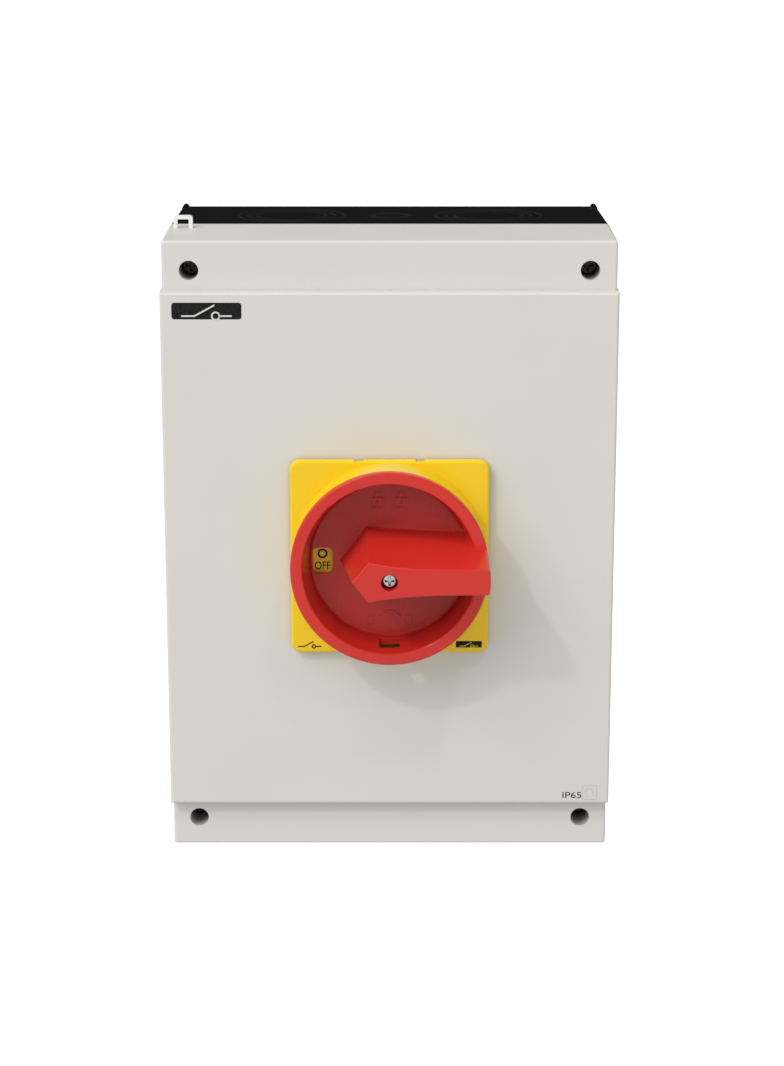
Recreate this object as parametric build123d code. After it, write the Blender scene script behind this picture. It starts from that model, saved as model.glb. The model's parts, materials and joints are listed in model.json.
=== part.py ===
from build123d import *
import math
import os

# A wall-mounted rotary isolator switch: a two-part plastic enclosure, a stacked three-pole switch on
# its back wall, and a padlockable handle on its cover.
#
# Millimetres. The origin is the centre of the enclosure's back face, which lies on the wall.
# +X is to the right, +Z up, and +Y runs into the wall, so the handle is on the -Y side. A depth is a
# Y value: the wall is at 0 and everything in front of it is negative.
# The switch is drawn in its OFF position, with the handle's pointer towards -X.

# ---- enclosure -------------------------------------------------------------------------------------
BOX_WIDTH = 200.0
BOX_HEIGHT = 280.0
WALL = 3.0
BACK_WALL = 3.5
CORNER_R = 2.0
JOINT_Y = -67.5          # where the cover meets the base
STRIP_Y = -119.0         # front of the two end strips
PANEL_Y = -125.0         # front of the raised middle panel
PANEL_HEIGHT = 235.0
PANEL_WIDTH = 199.8
COVER_DRAFT_DEG = 0.86
EDGE_R = 1.2

RIM_WIDTH = 8.0          # the base's wall is this thick where it carries the gasket
RIM_DEPTH = 6.0
GROOVE_INSET = 4.1       # outside face to the middle of the gasket groove
GROOVE_WIDTH = 3.2
GROOVE_DEPTH = 3.0
GASKET_HEIGHT = 1.7

COLUMN_X = 87.4          # cover screws
COLUMN_Z = 126.3
COLUMN_R = 6.5
COVER_COLUMN_R = 6.8
SCREW_WELL_R = 4.25
SCREW_SEAT_Y = -97.3
SCREW_SHANK_R = 2.0
SEAL_THICK = 1.2
INSERT_R = 4.0
INSERT_LENGTH = 14.0

WALL_HOLE_X = 75.0       # half the spacing of the wall fixings
WALL_HOLE_Z = 110.0
WALL_HOLE_R = 2.75
WALL_BOSS_R = 6.0
WALL_BOSS_HEIGHT = 2.5
FOOT_BOSS_R = 5.0
FOOT_SCREW_HOLE_R = 1.9

ENTRY_X = 45.7           # large cable entries, in the top and bottom walls
ENTRY_Y = -36.0
ENTRY_RADII = (25.2, 20.4, 16.4)
SMALL_ENTRY_RADII = (10.2, 8.1)
KNOCKOUT_GROOVE = 0.8
KNOCKOUT_DEPTH = 0.5

BEAD_X = 97.4
BEAD_R = 1.5
BEAD_LENGTH = 9.0

LOOP_X = (-96.8, -88.2)  # the seal loop on top of the cover
LOOP_Y = (-81.0, -79.0)
LOOP_Z = (135.6, 145.5)
LOOP_BAND = 1.8

# ---- switch inside ---------------------------------------------------------------------------------
FOOT_FRONT_Y = -17.0     # front of the plate that carries the switch
FOOT_THICK = 5.0
FOOT_HOLE_X = 47.0
FOOT_HOLE_Z = 28.0
DECK_WIDTH = 80.0
DECK_HEIGHT = 84.0
DECK_THICK = 18.0
DECK_COUNT = 3
DECK_FLOOR = 2.0
CHAMBER_R = 22.5
POLE_PITCH = 24.0
BAR_WIDTH = 10.0
BAR_THICK = 2.0
BAR_TIP_Z = 16.5         # the fixed contact starts this far from the shaft
BAR_JOG_Z = (26.0, 35.0)
BAR_END_Z = 59.0
DISC_R = 15.0
DISC_THICK = 12.0
HUB_R = 7.6
HUB_HOLE_R = 8.0
BLADE_R = 21.0
BLADE_WIDTH = 16.0
BLADE_THICK = 1.5
BLADE_GAP = 2.6
TIE_X = 35.5
TIE_Z = 37.0
TIE_R = 2.0
PRESSING_SLOT_Y = (-8.0, -6.0)   # the mould's mark in a deck's top and bottom faces, from its back

LATCH_THICK = 11.0
LATCH_LID = 2.5
STAR_R = 13.5
STAR_NOTCH_AT = 15.2
STAR_NOTCH_R = 3.3
ROLLER_AT = 17.2
ROLLER_R = 3.0
SPRING_R = 2.6
SPRING_END = 30.0

LID_JOURNAL_R = 9.0
CLIP_R = 8.6
CLIP_THICK = 1.2

CLAMP_WIDTH = 13.0
CLAMP_Z = (47.5, 58.5)
CLAMP_DEPTH = (-5.0, 9.0)        # from the contact's middle: in front of it and behind it
CLAMP_MOUTH_HALF = 5.1
SHROUD_OUTER_Z = 66.0
SHROUD_WALL = 2.0
SHROUD_HOLE_R = 4.5

BUSBAR_X = 72.0
BUSBAR_LENGTH = 44.0
BUSBAR_DEPTH = 9.0
BUSBAR_PITCH = 10.5
BUSBAR_WIDTH = 10.0
BUSBAR_WIRE_R = 2.6
BUSBAR_THREAD_R = 1.9
CARRIER_FRONT_Y = -12.5
CARRIER_SIZE = (18.0, 56.0)

# ---- shaft and coupling ----------------------------------------------------------------------------
SHAFT = 10.0
SHAFT_TIP_Y = -130.0
SHAFT_JOURNAL_R = 4.0
SQUARE_BORE = 10.3
BORE_END_Y = -135.0
COUPLING_BACK_Y = -108.0
COUPLING_KEY = 14.0
COUPLING_TOP_Y = -149.8
JOURNAL_R = 10.0
FLANGE_R = 16.0
FLANGE_Y = (-118.5, -121.5)
COUPLING_HUB_R = 9.0
RUNNING = 0.06           # radial clearance of a running fit
SLIP = 0.05              # clearance between pieces that are pushed together

# ---- front plate, locking ring and handle ----------------------------------------------------------
PLATE = 88.0
PLATE_BACK_Y = -125.8
PLATE_FRONT_Y = -130.0
PLATE_CORNER_R = 4.5
PLATE_EDGE_R = 1.4
PLATE_NOTCH_X = 13.5
PLATE_NOTCH = (3.9, 0.7)
PLATE_SCREW_AT = 37.0
PLATE_SCREW_R = 2.0
PLATE_SCREW_HEAD_R = 3.6
PLATE_SCREW_HEAD = 2.4
PLATE_BOSS_R = 4.5
PLATE_SKIN = 2.6         # what the coring leaves of the plate's thickness
PLATE_HUB_R = 24.0
SEAL_OUTER_R = 13.0
PEG_R = 1.5
RING_R = 43.2
RING_INNER_R = 40.6
RING_FRONT_Y = -146.7
LOCK_SLOT_HALF = 4.6
LOCK_SLOT_Y = (-145.2, -135.8)

RIM_R = 43.35
RIM_FRONT_Y = -151.0
RIM_BACK_Y = -147.0
DISH_TOP_R = 38.1
DISH_FLOOR_R = 35.0
DISH_BACK_R = 37.3       # the dish's outside, which clears the locking ring
DISH_NECK_R = 40.2
FLOOR_FRONT_Y = -133.0
FLOOR_BACK_Y = -130.8
LEVER_FRONT_Y = -172.0
LEVER_WALL = 2.4
LEVER_END_X = 43.3
LEVER_END_R = 1.6
LEVER_FOOT_R = 1.6
LEVER_EDGE_R = 0.8
# The lever's outline at its foot and at its front: the nose's x, then (x, half width) of the shoulder,
# of the curved side's two control points, and of the end.
LEVER_FOOT = {"tip": -21.0, "shoulder": (-9.9, 14.9), "waist": ((2, 14.2), (12, 12.4)),
              "end": (LEVER_END_X, 12.9)}
LEVER_TOP = {"tip": -16.1, "shoulder": (-9.0, 8.8), "waist": ((4, 6.3), (14, 5.4)),
             "end": (LEVER_END_X, 5.5)}
WINDOW_CENTRE = (-29.5, -0.5)
WINDOW_SIZE = (8.8, 11.9)
HANDLE_SCREW_WELL_R = 3.65
HANDLE_SCREW_SEAT_Y = -165.7
HANDLE_WASHER = 0.5
HANDLE_POST_R = 5.5

DECK_BACKS = [FOOT_FRONT_Y - DECK_THICK * i for i in range(DECK_COUNT)]
STACK_FRONT_Y = DECK_BACKS[-1] - DECK_THICK
LID_BACK_Y = STACK_FRONT_Y - LATCH_THICK
LID_FRONT_Y = LID_BACK_Y - LATCH_LID
POLE_XS = [POLE_PITCH * (i - 1) for i in range(DECK_COUNT)]
BUSBAR_SCREWS_Z = [BUSBAR_PITCH * (i - 1.5) for i in range(4)]


# ---- drawing helpers -------------------------------------------------------------------------------
def facing(y):
    """The drawing plane at depth y, as seen from the front: x to the right, z up."""
    return Plane(origin=(0, y, 0), x_dir=(1, 0, 0), z_dir=(0, -1, 0))


def prism(outline, back, front, taper=0.0):
    """An outline drawn as seen from the front, given depth from back to front."""
    return extrude(facing(back) * outline, back - front, taper=taper)


def rod(radius, back, front, x=0.0, z=0.0):
    """A round bar along Y."""
    return prism(Pos(x, z) * Circle(radius), back, front)


def tube(radius, bore, back, front, x=0.0, z=0.0):
    """A hollow round bar along Y."""
    return prism(Pos(x, z) * (Circle(radius) - Circle(bore)), back, front)


def slab(width, height, back, front, x=0.0, z=0.0):
    """A block centred on (x, z)."""
    return prism(Pos(x, z) * Rectangle(width, height), back, front)


def block(x, y, z):
    """A block from three (low, high) ranges."""
    size = [high - low for low, high in (x, y, z)]
    middle = [(low + high) / 2 for low, high in (x, y, z)]
    return Pos(*middle) * Box(*size)


def corners(x, z):
    """The four corners of a rectangle of half size x by z."""
    return [(i * x, j * z) for i in (-1, 1) for j in (-1, 1)]


def joined(shapes):
    """One shape from a list of shapes, fused where they touch."""
    return Part() + list(shapes)


def edges_at(shape, y, tolerance=0.01):
    """The edges of a shape that lie wholly at depth y."""
    return [
        edge
        for edge in shape.edges()
        if abs(edge.bounding_box().min.Y - y) < tolerance
        and abs(edge.bounding_box().max.Y - y) < tolerance
    ]


def cross_recess(x, z, face, size, depth):
    """The cutter for a cross-slot in a screw head that faces the front."""
    slot = size * 0.24
    arms = [Rectangle(size, slot), Rectangle(slot, size), Rot(0, 0, 45) * Rectangle(size * 0.45, slot)]
    arms.append(Rot(0, 0, -45) * Rectangle(size * 0.45, slot))
    return joined([prism(Pos(x, z) * arm, face + depth, face - 1) for arm in arms])


def screw(x, z, seat, head_r, head_height, shank_r, length, dome=0.0):
    """A screw with its head in front of the seat and its shank running back towards the wall."""
    head = rod(head_r, seat, seat - head_height, x, z)
    if dome:
        head = fillet(edges_at(head, seat - head_height), dome)
    body = head + rod(shank_r, seat + length, seat, x, z)
    return body - cross_recess(x, z, seat - head_height, head_r * 1.3, head_height * 0.6)


# ---- enclosure -------------------------------------------------------------------------------------
def box_outline(inset, corner):
    """The enclosure's outline, drawn in by an inset."""
    return RectangleRounded(BOX_WIDTH - 2 * inset, BOX_HEIGHT - 2 * inset, corner)


def rim_loop(inset, width):
    """A band that follows the enclosure's rim, its middle line at the inset."""
    outer = box_outline(inset - width / 2, CORNER_R + 0.5)
    return outer - box_outline(inset + width / 2, CORNER_R + 0.5)


def knockout(x, radius, side):
    """The cutter for one knock-out ring in the top (side 1) or bottom (side -1) wall."""
    band = Circle(radius) - Circle(radius - KNOCKOUT_GROOVE)
    plane = Plane(origin=(x, ENTRY_Y, side * BOX_HEIGHT / 2), x_dir=(1, 0, 0), z_dir=(0, 0, side))
    return extrude(plane * band, KNOCKOUT_DEPTH, both=True)


def enclosure_base():
    """The black tub that is fixed to the wall and carries the switch."""
    base = prism(box_outline(0.3, CORNER_R), 0, JOINT_Y, taper=-0.25)
    base = base & prism(box_outline(0, CORNER_R), 0, JOINT_Y)
    cavity = prism(box_outline(WALL, 1.0), -BACK_WALL, JOINT_Y + RIM_DEPTH)
    mouth = prism(box_outline(RIM_WIDTH, 1.0), JOINT_Y + RIM_DEPTH, JOINT_Y - 1)
    base = base - cavity - mouth
    solid = [rod(COLUMN_R, -BACK_WALL + 1, JOINT_Y, x, z) for x, z in corners(COLUMN_X, COLUMN_Z)]
    solid += [rod(FOOT_BOSS_R, -BACK_WALL + 1, FOOT_FRONT_Y + FOOT_THICK, x, z)
              for x, z in corners(FOOT_HOLE_X, FOOT_HOLE_Z)]
    solid += [rod(WALL_BOSS_R, -BACK_WALL + 1, -BACK_WALL - WALL_BOSS_HEIGHT, x, z)
              for x, z in corners(WALL_HOLE_X, WALL_HOLE_Z)]
    for side in (-1, 1):
        bead = rod(BEAD_R, -1.0, -1.0 - BEAD_LENGTH, side * BEAD_X, BOX_HEIGHT / 2 - 0.3)
        solid.append(fillet(edges_at(bead, -1.0 - BEAD_LENGTH), 1.0))
    base = joined([base] + solid)
    cut = [prism(rim_loop(GROOVE_INSET, GROOVE_WIDTH), JOINT_Y + GROOVE_DEPTH, JOINT_Y - 1)]
    cut += [rod(INSERT_R, JOINT_Y + INSERT_LENGTH, JOINT_Y - 1, x, z) for x, z in corners(COLUMN_X, COLUMN_Z)]
    cut += [rod(SCREW_SHANK_R + 0.5, JOINT_Y + INSERT_LENGTH + 8, JOINT_Y, x, z)
            for x, z in corners(COLUMN_X, COLUMN_Z)]
    cut += [rod(FOOT_SCREW_HOLE_R, -6.0, -13.0, x, z) for x, z in corners(FOOT_HOLE_X, FOOT_HOLE_Z)]
    cut += [rod(WALL_HOLE_R, 1, -10, x, z) for x, z in corners(WALL_HOLE_X, WALL_HOLE_Z)]
    for side in (-1, 1):
        cut += [knockout(i * ENTRY_X, radius, side) for i in (-1, 1) for radius in ENTRY_RADII]
        cut += [knockout(0, radius, side) for radius in SMALL_ENTRY_RADII]
    for cutter in cut:
        base = base - cutter
    return base


def cover_gasket():
    """The foam cord in the base's rim groove."""
    bottom = JOINT_Y + GROOVE_DEPTH
    return prism(rim_loop(GROOVE_INSET, GROOVE_WIDTH - 0.2), bottom, bottom - GASKET_HEIGHT)


def threaded_inserts():
    """Four brass bushes in the base's screw columns."""
    return joined(
        [tube(INSERT_R, SCREW_SHANK_R + 0.35, JOINT_Y + INSERT_LENGTH, JOINT_Y + 0.3, x, z)
         for x, z in corners(COLUMN_X, COLUMN_Z)]
    )


def enclosure_cover():
    """The grey cover: two end strips with the screw wells and a raised middle panel."""
    ends = prism(box_outline(0, CORNER_R), JOINT_Y, STRIP_Y, taper=COVER_DRAFT_DEG)
    ends = fillet(edges_at(ends, STRIP_Y), EDGE_R)
    panel = slab(PANEL_WIDTH, PANEL_HEIGHT, JOINT_Y, PANEL_Y)
    panel = fillet(edges_at(panel, PANEL_Y), EDGE_R)
    inside = prism(box_outline(WALL, 1.0), JOINT_Y + 1, STRIP_Y + WALL, taper=COVER_DRAFT_DEG)
    inside += slab(PANEL_WIDTH - 2 * WALL - 1, PANEL_HEIGHT - 2 * WALL, STRIP_Y + WALL + 1, PANEL_Y + WALL)
    cover = ends + panel - inside
    wells = [rod(COVER_COLUMN_R, JOINT_Y - 0.1, STRIP_Y + 1, x, z) for x, z in corners(COLUMN_X, COLUMN_Z)]
    lip = prism(rim_loop(GROOVE_INSET, GROOVE_WIDTH - 0.8), JOINT_Y + 1.2, JOINT_Y)
    ledge = prism(rim_loop(RIM_WIDTH / 2, RIM_WIDTH), JOINT_Y, JOINT_Y - 2.5)
    cover = joined([cover, lip, ledge & prism(box_outline(0, CORNER_R), 0, PANEL_Y)] + wells)
    cut = [rod(SCREW_WELL_R, SCREW_SEAT_Y, STRIP_Y - 1, x, z) for x, z in corners(COLUMN_X, COLUMN_Z)]
    cut += [rod(SCREW_SHANK_R + 0.6, JOINT_Y + 1, SCREW_SEAT_Y - 1, x, z)
            for x, z in corners(COLUMN_X, COLUMN_Z)]
    cut += [rod(PLATE_SCREW_R + 0.25, PANEL_Y + WALL + 1, PANEL_Y - 1, x, z) for x, z in plate_screw_places()]
    cut.append(rod(SEAL_OUTER_R, PANEL_Y + WALL + 1, PANEL_Y - 1))
    cut += loop_legs(grow=SLIP)
    for cutter in cut:
        cover = cover - cutter
    return cover


def loop_legs(grow=0.0):
    """The seal loop's two legs, which pass through the cover's top wall."""
    left, right = LOOP_X
    y = (LOOP_Y[0] - grow, LOOP_Y[1] + grow)
    return [
        block((left - grow, left + LOOP_BAND + grow), y, LOOP_Z),
        block((right - LOOP_BAND - grow, right + grow), y, LOOP_Z),
    ]


def seal_loop():
    """The white nylon staple on the top of the cover that takes a wire seal."""
    middle = ((LOOP_X[0] + LOOP_X[1]) / 2, (LOOP_Z[0] + LOOP_Z[1]) / 2)
    outline = Pos(*middle) * RectangleRounded(LOOP_X[1] - LOOP_X[0], LOOP_Z[1] - LOOP_Z[0], 1.4)
    opening = Pos(middle[0], middle[1] - LOOP_BAND) * Rectangle(
        LOOP_X[1] - LOOP_X[0] - 2 * LOOP_BAND, LOOP_Z[1] - LOOP_Z[0]
    )
    return prism(outline - opening, LOOP_Y[1], LOOP_Y[0])


def cover_screws():
    """Four black cheese-head screws at the bottom of the cover's wells."""
    return joined(
        [screw(x, z, SCREW_SEAT_Y - SEAL_THICK, head_r=3.9, head_height=4.5, shank_r=SCREW_SHANK_R,
               length=42.0, dome=0.5)
         for x, z in corners(COLUMN_X, COLUMN_Z)]
    )


def cover_screw_seals():
    """Four sealing rings under the cover screws' heads."""
    return joined(
        [tube(SCREW_WELL_R - SLIP, SCREW_SHANK_R + SLIP, SCREW_SEAT_Y, SCREW_SEAT_Y - SEAL_THICK, x, z)
         for x, z in corners(COLUMN_X, COLUMN_Z)]
    )


# ---- front plate and locking ring ------------------------------------------------------------------
def plate_screw_places():
    """The four (x, z) places of the front plate's screws."""
    return corners(PLATE_SCREW_AT, PLATE_SCREW_AT)


def ring_pegs(radius, back):
    """Four pegs that fix the locking ring to the front plate."""
    at = (RING_R + RING_INNER_R) / 2 * math.cos(math.radians(45))
    return [rod(radius, back, PLATE_FRONT_Y - 1, x, z) for x, z in corners(at, at)]


def front_plate():
    """The square yellow plate, cored out at the back, with the bearing for the coupling."""
    outline = RectangleRounded(PLATE, PLATE, PLATE_CORNER_R)
    plate = prism(outline, PLATE_BACK_Y, PLATE_FRONT_Y)
    plate = fillet(edges_at(plate, PLATE_FRONT_Y), PLATE_EDGE_R)
    coring = RectangleRounded(PLATE - 6, PLATE - 6, 3) - Circle(PLATE_HUB_R)
    skin_y = PLATE_FRONT_Y + PLATE_SKIN
    core = prism(coring, PLATE_BACK_Y, skin_y)
    bosses = [rod(PLATE_BOSS_R, PLATE_BACK_Y, skin_y - 0.1, x, z) for x, z in plate_screw_places()]
    plate = joined([plate - core] + [boss & prism(outline, 0, PLATE_FRONT_Y) for boss in bosses])
    width, depth = PLATE_NOTCH
    cut = [slab(width, 2 * depth, PLATE_BACK_Y + 1, PLATE_FRONT_Y - 1, side * PLATE_NOTCH_X, PLATE / 2)
           for side in (-1, 1)]
    cut.append(rod(JOURNAL_R + RUNNING, PLATE_BACK_Y + 1, PLATE_FRONT_Y - 1))
    cut += [rod(PLATE_SCREW_R, PLATE_BACK_Y + 1, PLATE_BACK_Y - 3, x, z) for x, z in plate_screw_places()]
    cut += ring_pegs(PEG_R + SLIP, PLATE_BACK_Y + 1)
    for cutter in cut:
        plate = plate - cutter
    return plate


def plate_gasket():
    """The thin flat seal between the front plate and the cover."""
    sheet = RectangleRounded(PLATE - 3, PLATE - 3, 3) - Circle(SEAL_OUTER_R)
    for x, z in plate_screw_places():
        sheet = sheet - Pos(x, z) * Circle(PLATE_SCREW_R + 0.2)
    return prism(sheet, PANEL_Y, PLATE_BACK_Y)


def plate_screws():
    """Four screws that hold the front plate, driven from inside the cover."""
    seat = PANEL_Y + WALL
    heads = [rod(PLATE_SCREW_HEAD_R, seat + PLATE_SCREW_HEAD, seat, x, z) for x, z in plate_screw_places()]
    shanks = [rod(PLATE_SCREW_R, seat, PLATE_BACK_Y - 2.5, x, z) for x, z in plate_screw_places()]
    return joined(heads + shanks)


def shaft_seal():
    """The lip seal round the coupling, in the cover's hole."""
    return tube(SEAL_OUTER_R, JOURNAL_R + 0.35, PANEL_Y + WALL, PANEL_Y)


def lock_slot(reach_in, reach_out):
    """The cutter for the padlock slot at the bottom of the ring and of the handle's wall."""
    return block((-LOCK_SLOT_HALF, LOCK_SLOT_HALF), LOCK_SLOT_Y, (-reach_out, -reach_in))


def locking_ring():
    """The fixed yellow ring that takes the padlocks, with pegs into the front plate."""
    ring = tube(RING_R, RING_INNER_R, PLATE_FRONT_Y, RING_FRONT_Y)
    ring = fillet(edges_at(ring, RING_FRONT_Y), 0.5)
    ring = joined([ring] + ring_pegs(PEG_R, PLATE_BACK_Y - 0.7))
    return ring - lock_slot(30, 50)


# ---- handle ----------------------------------------------------------------------------------------
def lever_outline(tip, shoulder, waist, end, inset=0.0):
    """The lever's outline at one depth: a pointed nose, shoulders and sides that sweep in.

    tip is the nose's x; shoulder is its (x, half width); waist is the two control points of the curved
    side; end is the (x, half width) where the lever meets the rim.
    """
    half = [(shoulder[0], shoulder[1] - inset)]
    half += [(x, width - inset) for x, width in waist]
    half.append((end[0] - inset, end[1] - inset))
    mirrored = [(x, -width) for x, width in half]
    nose = (tip + 1.4 * inset, 0)
    sides = [Line(nose, half[0]), Bezier(*half), Line(half[-1], mirrored[-1])]
    sides += [Bezier(*reversed(mirrored)), Line(mirrored[0], nose)]
    return make_face(Curve() + sides)


def lever(inset=0.0):
    """The tapering lever between its foot on the dish floor and its flat front, drawn in by an inset."""
    foot = facing(FLOOR_FRONT_Y) * lever_outline(**LEVER_FOOT, inset=inset)
    top = facing(LEVER_FRONT_Y) * lever_outline(**LEVER_TOP, inset=inset)
    return loft([foot, top], ruled=True)


def stepped(front_r, back_r, step_y):
    """A round envelope for the lever: wide in front of the step, narrower inside the dish."""
    return rod(front_r, step_y, LEVER_FRONT_Y) + rod(back_r, 0, step_y)


def dish():
    """The handle's round dish, with a flat flange over the locking ring."""
    profile = [
        (0, FLOOR_BACK_Y), (DISH_BACK_R, FLOOR_BACK_Y), (DISH_NECK_R, RIM_BACK_Y), (RIM_R, RIM_BACK_Y),
        (RIM_R, RIM_FRONT_Y), (DISH_TOP_R, RIM_FRONT_Y), (DISH_FLOOR_R, FLOOR_FRONT_Y), (0, FLOOR_FRONT_Y),
    ]
    body = revolve(make_face(Polyline(*profile, close=True)), Axis.Y)
    body = fillet(edges_at(body, RIM_FRONT_Y), 0.9)
    return fillet(edges_at(body, FLOOR_FRONT_Y), 1.2)


def grip():
    """The lever's outside: its foot runs into the dish floor, and its edges and end are rounded."""
    sheet_r = 1.4 * LEVER_END_X
    body = joined([lever(), rod(sheet_r, FLOOR_BACK_Y, FLOOR_FRONT_Y)])
    foot = [edge for edge in edges_at(body, FLOOR_FRONT_Y) if not edge.is_closed]
    body = fillet(foot, LEVER_FOOT_R)
    body = body & stepped(LEVER_END_X, DISH_TOP_R - 0.7, RIM_BACK_Y)
    end = [
        edge
        for edge in body.edges()
        if edge.center().X > LEVER_END_X - LEVER_WALL
        and edge.bounding_box().min.Y < RIM_FRONT_Y - 10
        and edge.bounding_box().size.Y > LEVER_WALL
    ]
    body = fillet(end, LEVER_END_R)
    return fillet(edges_at(body, LEVER_FRONT_Y), LEVER_EDGE_R)


def lever_hollow():
    """The cutter for the hollow under the lever, open at the handle's back."""
    hollow = lever(LEVER_WALL) & slab(100, 60, 0, LEVER_FRONT_Y + 3.5)
    hollow += prism(lever_outline(**LEVER_FOOT, inset=LEVER_WALL), FLOOR_BACK_Y + 1, FLOOR_FRONT_Y)
    return hollow & stepped(LEVER_END_X - LEVER_WALL, DISH_FLOOR_R - 2, RIM_BACK_Y - LEVER_WALL)


def handle():
    """The red handle: dish, hollow lever, socket for the coupling and post for the screw."""
    socket = slab(COUPLING_KEY + 5, COUPLING_KEY + 5, FLOOR_BACK_Y, COUPLING_TOP_Y - 2)
    post = rod(HANDLE_POST_R, COUPLING_TOP_Y, LEVER_FRONT_Y + 2)
    body = joined([dish(), grip()]) - lever_hollow()
    body = joined([body, socket, post])
    window = Pos(*WINDOW_CENTRE) * RectangleRounded(*WINDOW_SIZE, 2.0)
    cut = [
        slab(COUPLING_KEY + 2 * SLIP, COUPLING_KEY + 2 * SLIP, FLOOR_BACK_Y + 1, COUPLING_TOP_Y),
        rod(2.2, 0, LEVER_FRONT_Y),
        rod(HANDLE_SCREW_WELL_R, HANDLE_SCREW_SEAT_Y, LEVER_FRONT_Y - 1),
        prism(window, FLOOR_BACK_Y + 1, FLOOR_FRONT_Y - 1),
        lock_slot(30, 42.5),
    ]
    for cutter in cut:
        body = body - cutter
    return body


def handle_washer():
    """The washer under the handle screw."""
    return tube(3.3, 2.05, HANDLE_SCREW_SEAT_Y, HANDLE_SCREW_SEAT_Y - HANDLE_WASHER)


def handle_screw():
    """The screw that draws the coupling up into the handle."""
    seat = HANDLE_SCREW_SEAT_Y - HANDLE_WASHER
    return screw(0, 0, seat, head_r=3.15, head_height=2.4, shank_r=2.0, length=26.0, dome=0.8)


def shaft_coupling():
    """The piece that joins the handle to the shaft: key, journal, flange and square bore."""
    key = slab(COUPLING_KEY, COUPLING_KEY, FLOOR_BACK_Y, COUPLING_TOP_Y)
    journal = rod(JOURNAL_R, FLANGE_Y[1], FLOOR_BACK_Y)
    flange = rod(FLANGE_R, *FLANGE_Y)
    hub = rod(COUPLING_HUB_R, COUPLING_BACK_Y, FLANGE_Y[0])
    body = joined([key, journal, flange, hub])
    bore = slab(SQUARE_BORE, SQUARE_BORE, COUPLING_BACK_Y + 1, BORE_END_Y)
    thread = rod(2.0, BORE_END_Y, COUPLING_TOP_Y - 1)
    return body - bore - thread


# ---- switch: fixed pieces --------------------------------------------------------------------------
def switch_back_plate():
    """The plate with four ears that carries the switch stack, and the shaft's rear bearing."""
    back = FOOT_FRONT_Y + FOOT_THICK
    plate = prism(RectangleRounded(DECK_WIDTH, DECK_HEIGHT, 3), back, FOOT_FRONT_Y)
    ears = prism(RectangleRounded(2 * FOOT_HOLE_X + 12, 2 * FOOT_HOLE_Z + 12, 5), back, FOOT_FRONT_Y)
    plate = joined([plate, ears])
    cut = [rod(2.1, back + 1, FOOT_FRONT_Y - 1, x, z) for x, z in corners(FOOT_HOLE_X, FOOT_HOLE_Z)]
    cut += [rod(TIE_R, back + 1, FOOT_FRONT_Y - 1, x, z) for x, z in corners(TIE_X, TIE_Z)]
    cut.append(rod(SHAFT_JOURNAL_R + RUNNING, back + 1, FOOT_FRONT_Y - 1))
    for cutter in cut:
        plate = plate - cutter
    return plate


def switch_mount_screws():
    """Four screws that hold the switch in the base."""
    return joined(
        [screw(x, z, FOOT_FRONT_Y, head_r=3.8, head_height=2.6, shank_r=FOOT_SCREW_HOLE_R, length=10.5,
               dome=0.8)
         for x, z in corners(FOOT_HOLE_X, FOOT_HOLE_Z)]
    )


def deck_middle(deck):
    """The depth of a deck's contact plane."""
    return DECK_BACKS[deck] - DECK_FLOOR - (DECK_THICK - DECK_FLOOR) / 2


def contact_bar(deck, side, grow=0.0):
    """A deck's fixed contact on one side (1 up, -1 down): from the chamber out to its own column."""
    middle = deck_middle(deck)
    half = BAR_WIDTH / 2 + grow
    y = (middle - BAR_THICK / 2 - grow, middle + BAR_THICK / 2 + grow)
    column = POLE_XS[deck]
    low, high = BAR_JOG_Z[0] - grow, BAR_JOG_Z[1] + grow
    pieces = [
        block((-half, half), y, (BAR_TIP_Z, high)),
        block((min(0, column) - half, max(0, column) + half), y, (low, high)),
        block((column - half, column + half), y, (low, BAR_END_Z)),
    ]
    bar = joined(pieces)
    return bar if side > 0 else mirror(bar, about=Plane.XY)


def deck_housing(deck):
    """One moulded deck of the switch: a round chamber and two channels for the fixed contacts."""
    back = DECK_BACKS[deck]
    front = back - DECK_THICK
    housing = prism(RectangleRounded(DECK_WIDTH, DECK_HEIGHT, 3), back, front)
    cut = [rod(CHAMBER_R, back - DECK_FLOOR, front - 1), rod(HUB_HOLE_R, back + 1, front - 1)]
    cut += [rod(TIE_R + 0.1, back + 1, front - 1, x, z) for x, z in corners(TIE_X, TIE_Z)]
    cut += [contact_bar(deck, side, grow=SLIP) for side in (-1, 1)]
    for side in (-1, 1):
        edge = side * DECK_HEIGHT / 2
        slot = (back + PRESSING_SLOT_Y[0], back + PRESSING_SLOT_Y[1])
        cut.append(block((-DECK_WIDTH, DECK_WIDTH), slot, (edge - 1, edge + 1)))
    for cutter in cut:
        housing = housing - cutter
    return housing


def fixed_contacts(side):
    """The three fixed contact bars of one side."""
    return joined([contact_bar(deck, side) for deck in range(DECK_COUNT)])


def latch_housing():
    """The latch box in front of the decks, open to the front for the star, rollers and springs."""
    housing = prism(RectangleRounded(DECK_WIDTH, DECK_HEIGHT, 3), STACK_FRONT_Y, LID_BACK_Y)
    cut = [
        rod(STAR_R + 1.0, STACK_FRONT_Y - DECK_FLOOR, LID_BACK_Y - 1),
        rod(HUB_HOLE_R, STACK_FRONT_Y + 1, LID_BACK_Y),
        slab(2 * SPRING_END, 2 * ROLLER_R + 0.6, STACK_FRONT_Y - DECK_FLOOR, LID_BACK_Y - 1),
    ]
    cut += [rod(TIE_R + 0.1, STACK_FRONT_Y + 1, LID_BACK_Y - 1, x, z) for x, z in corners(TIE_X, TIE_Z)]
    for cutter in cut:
        housing = housing - cutter
    return housing


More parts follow.
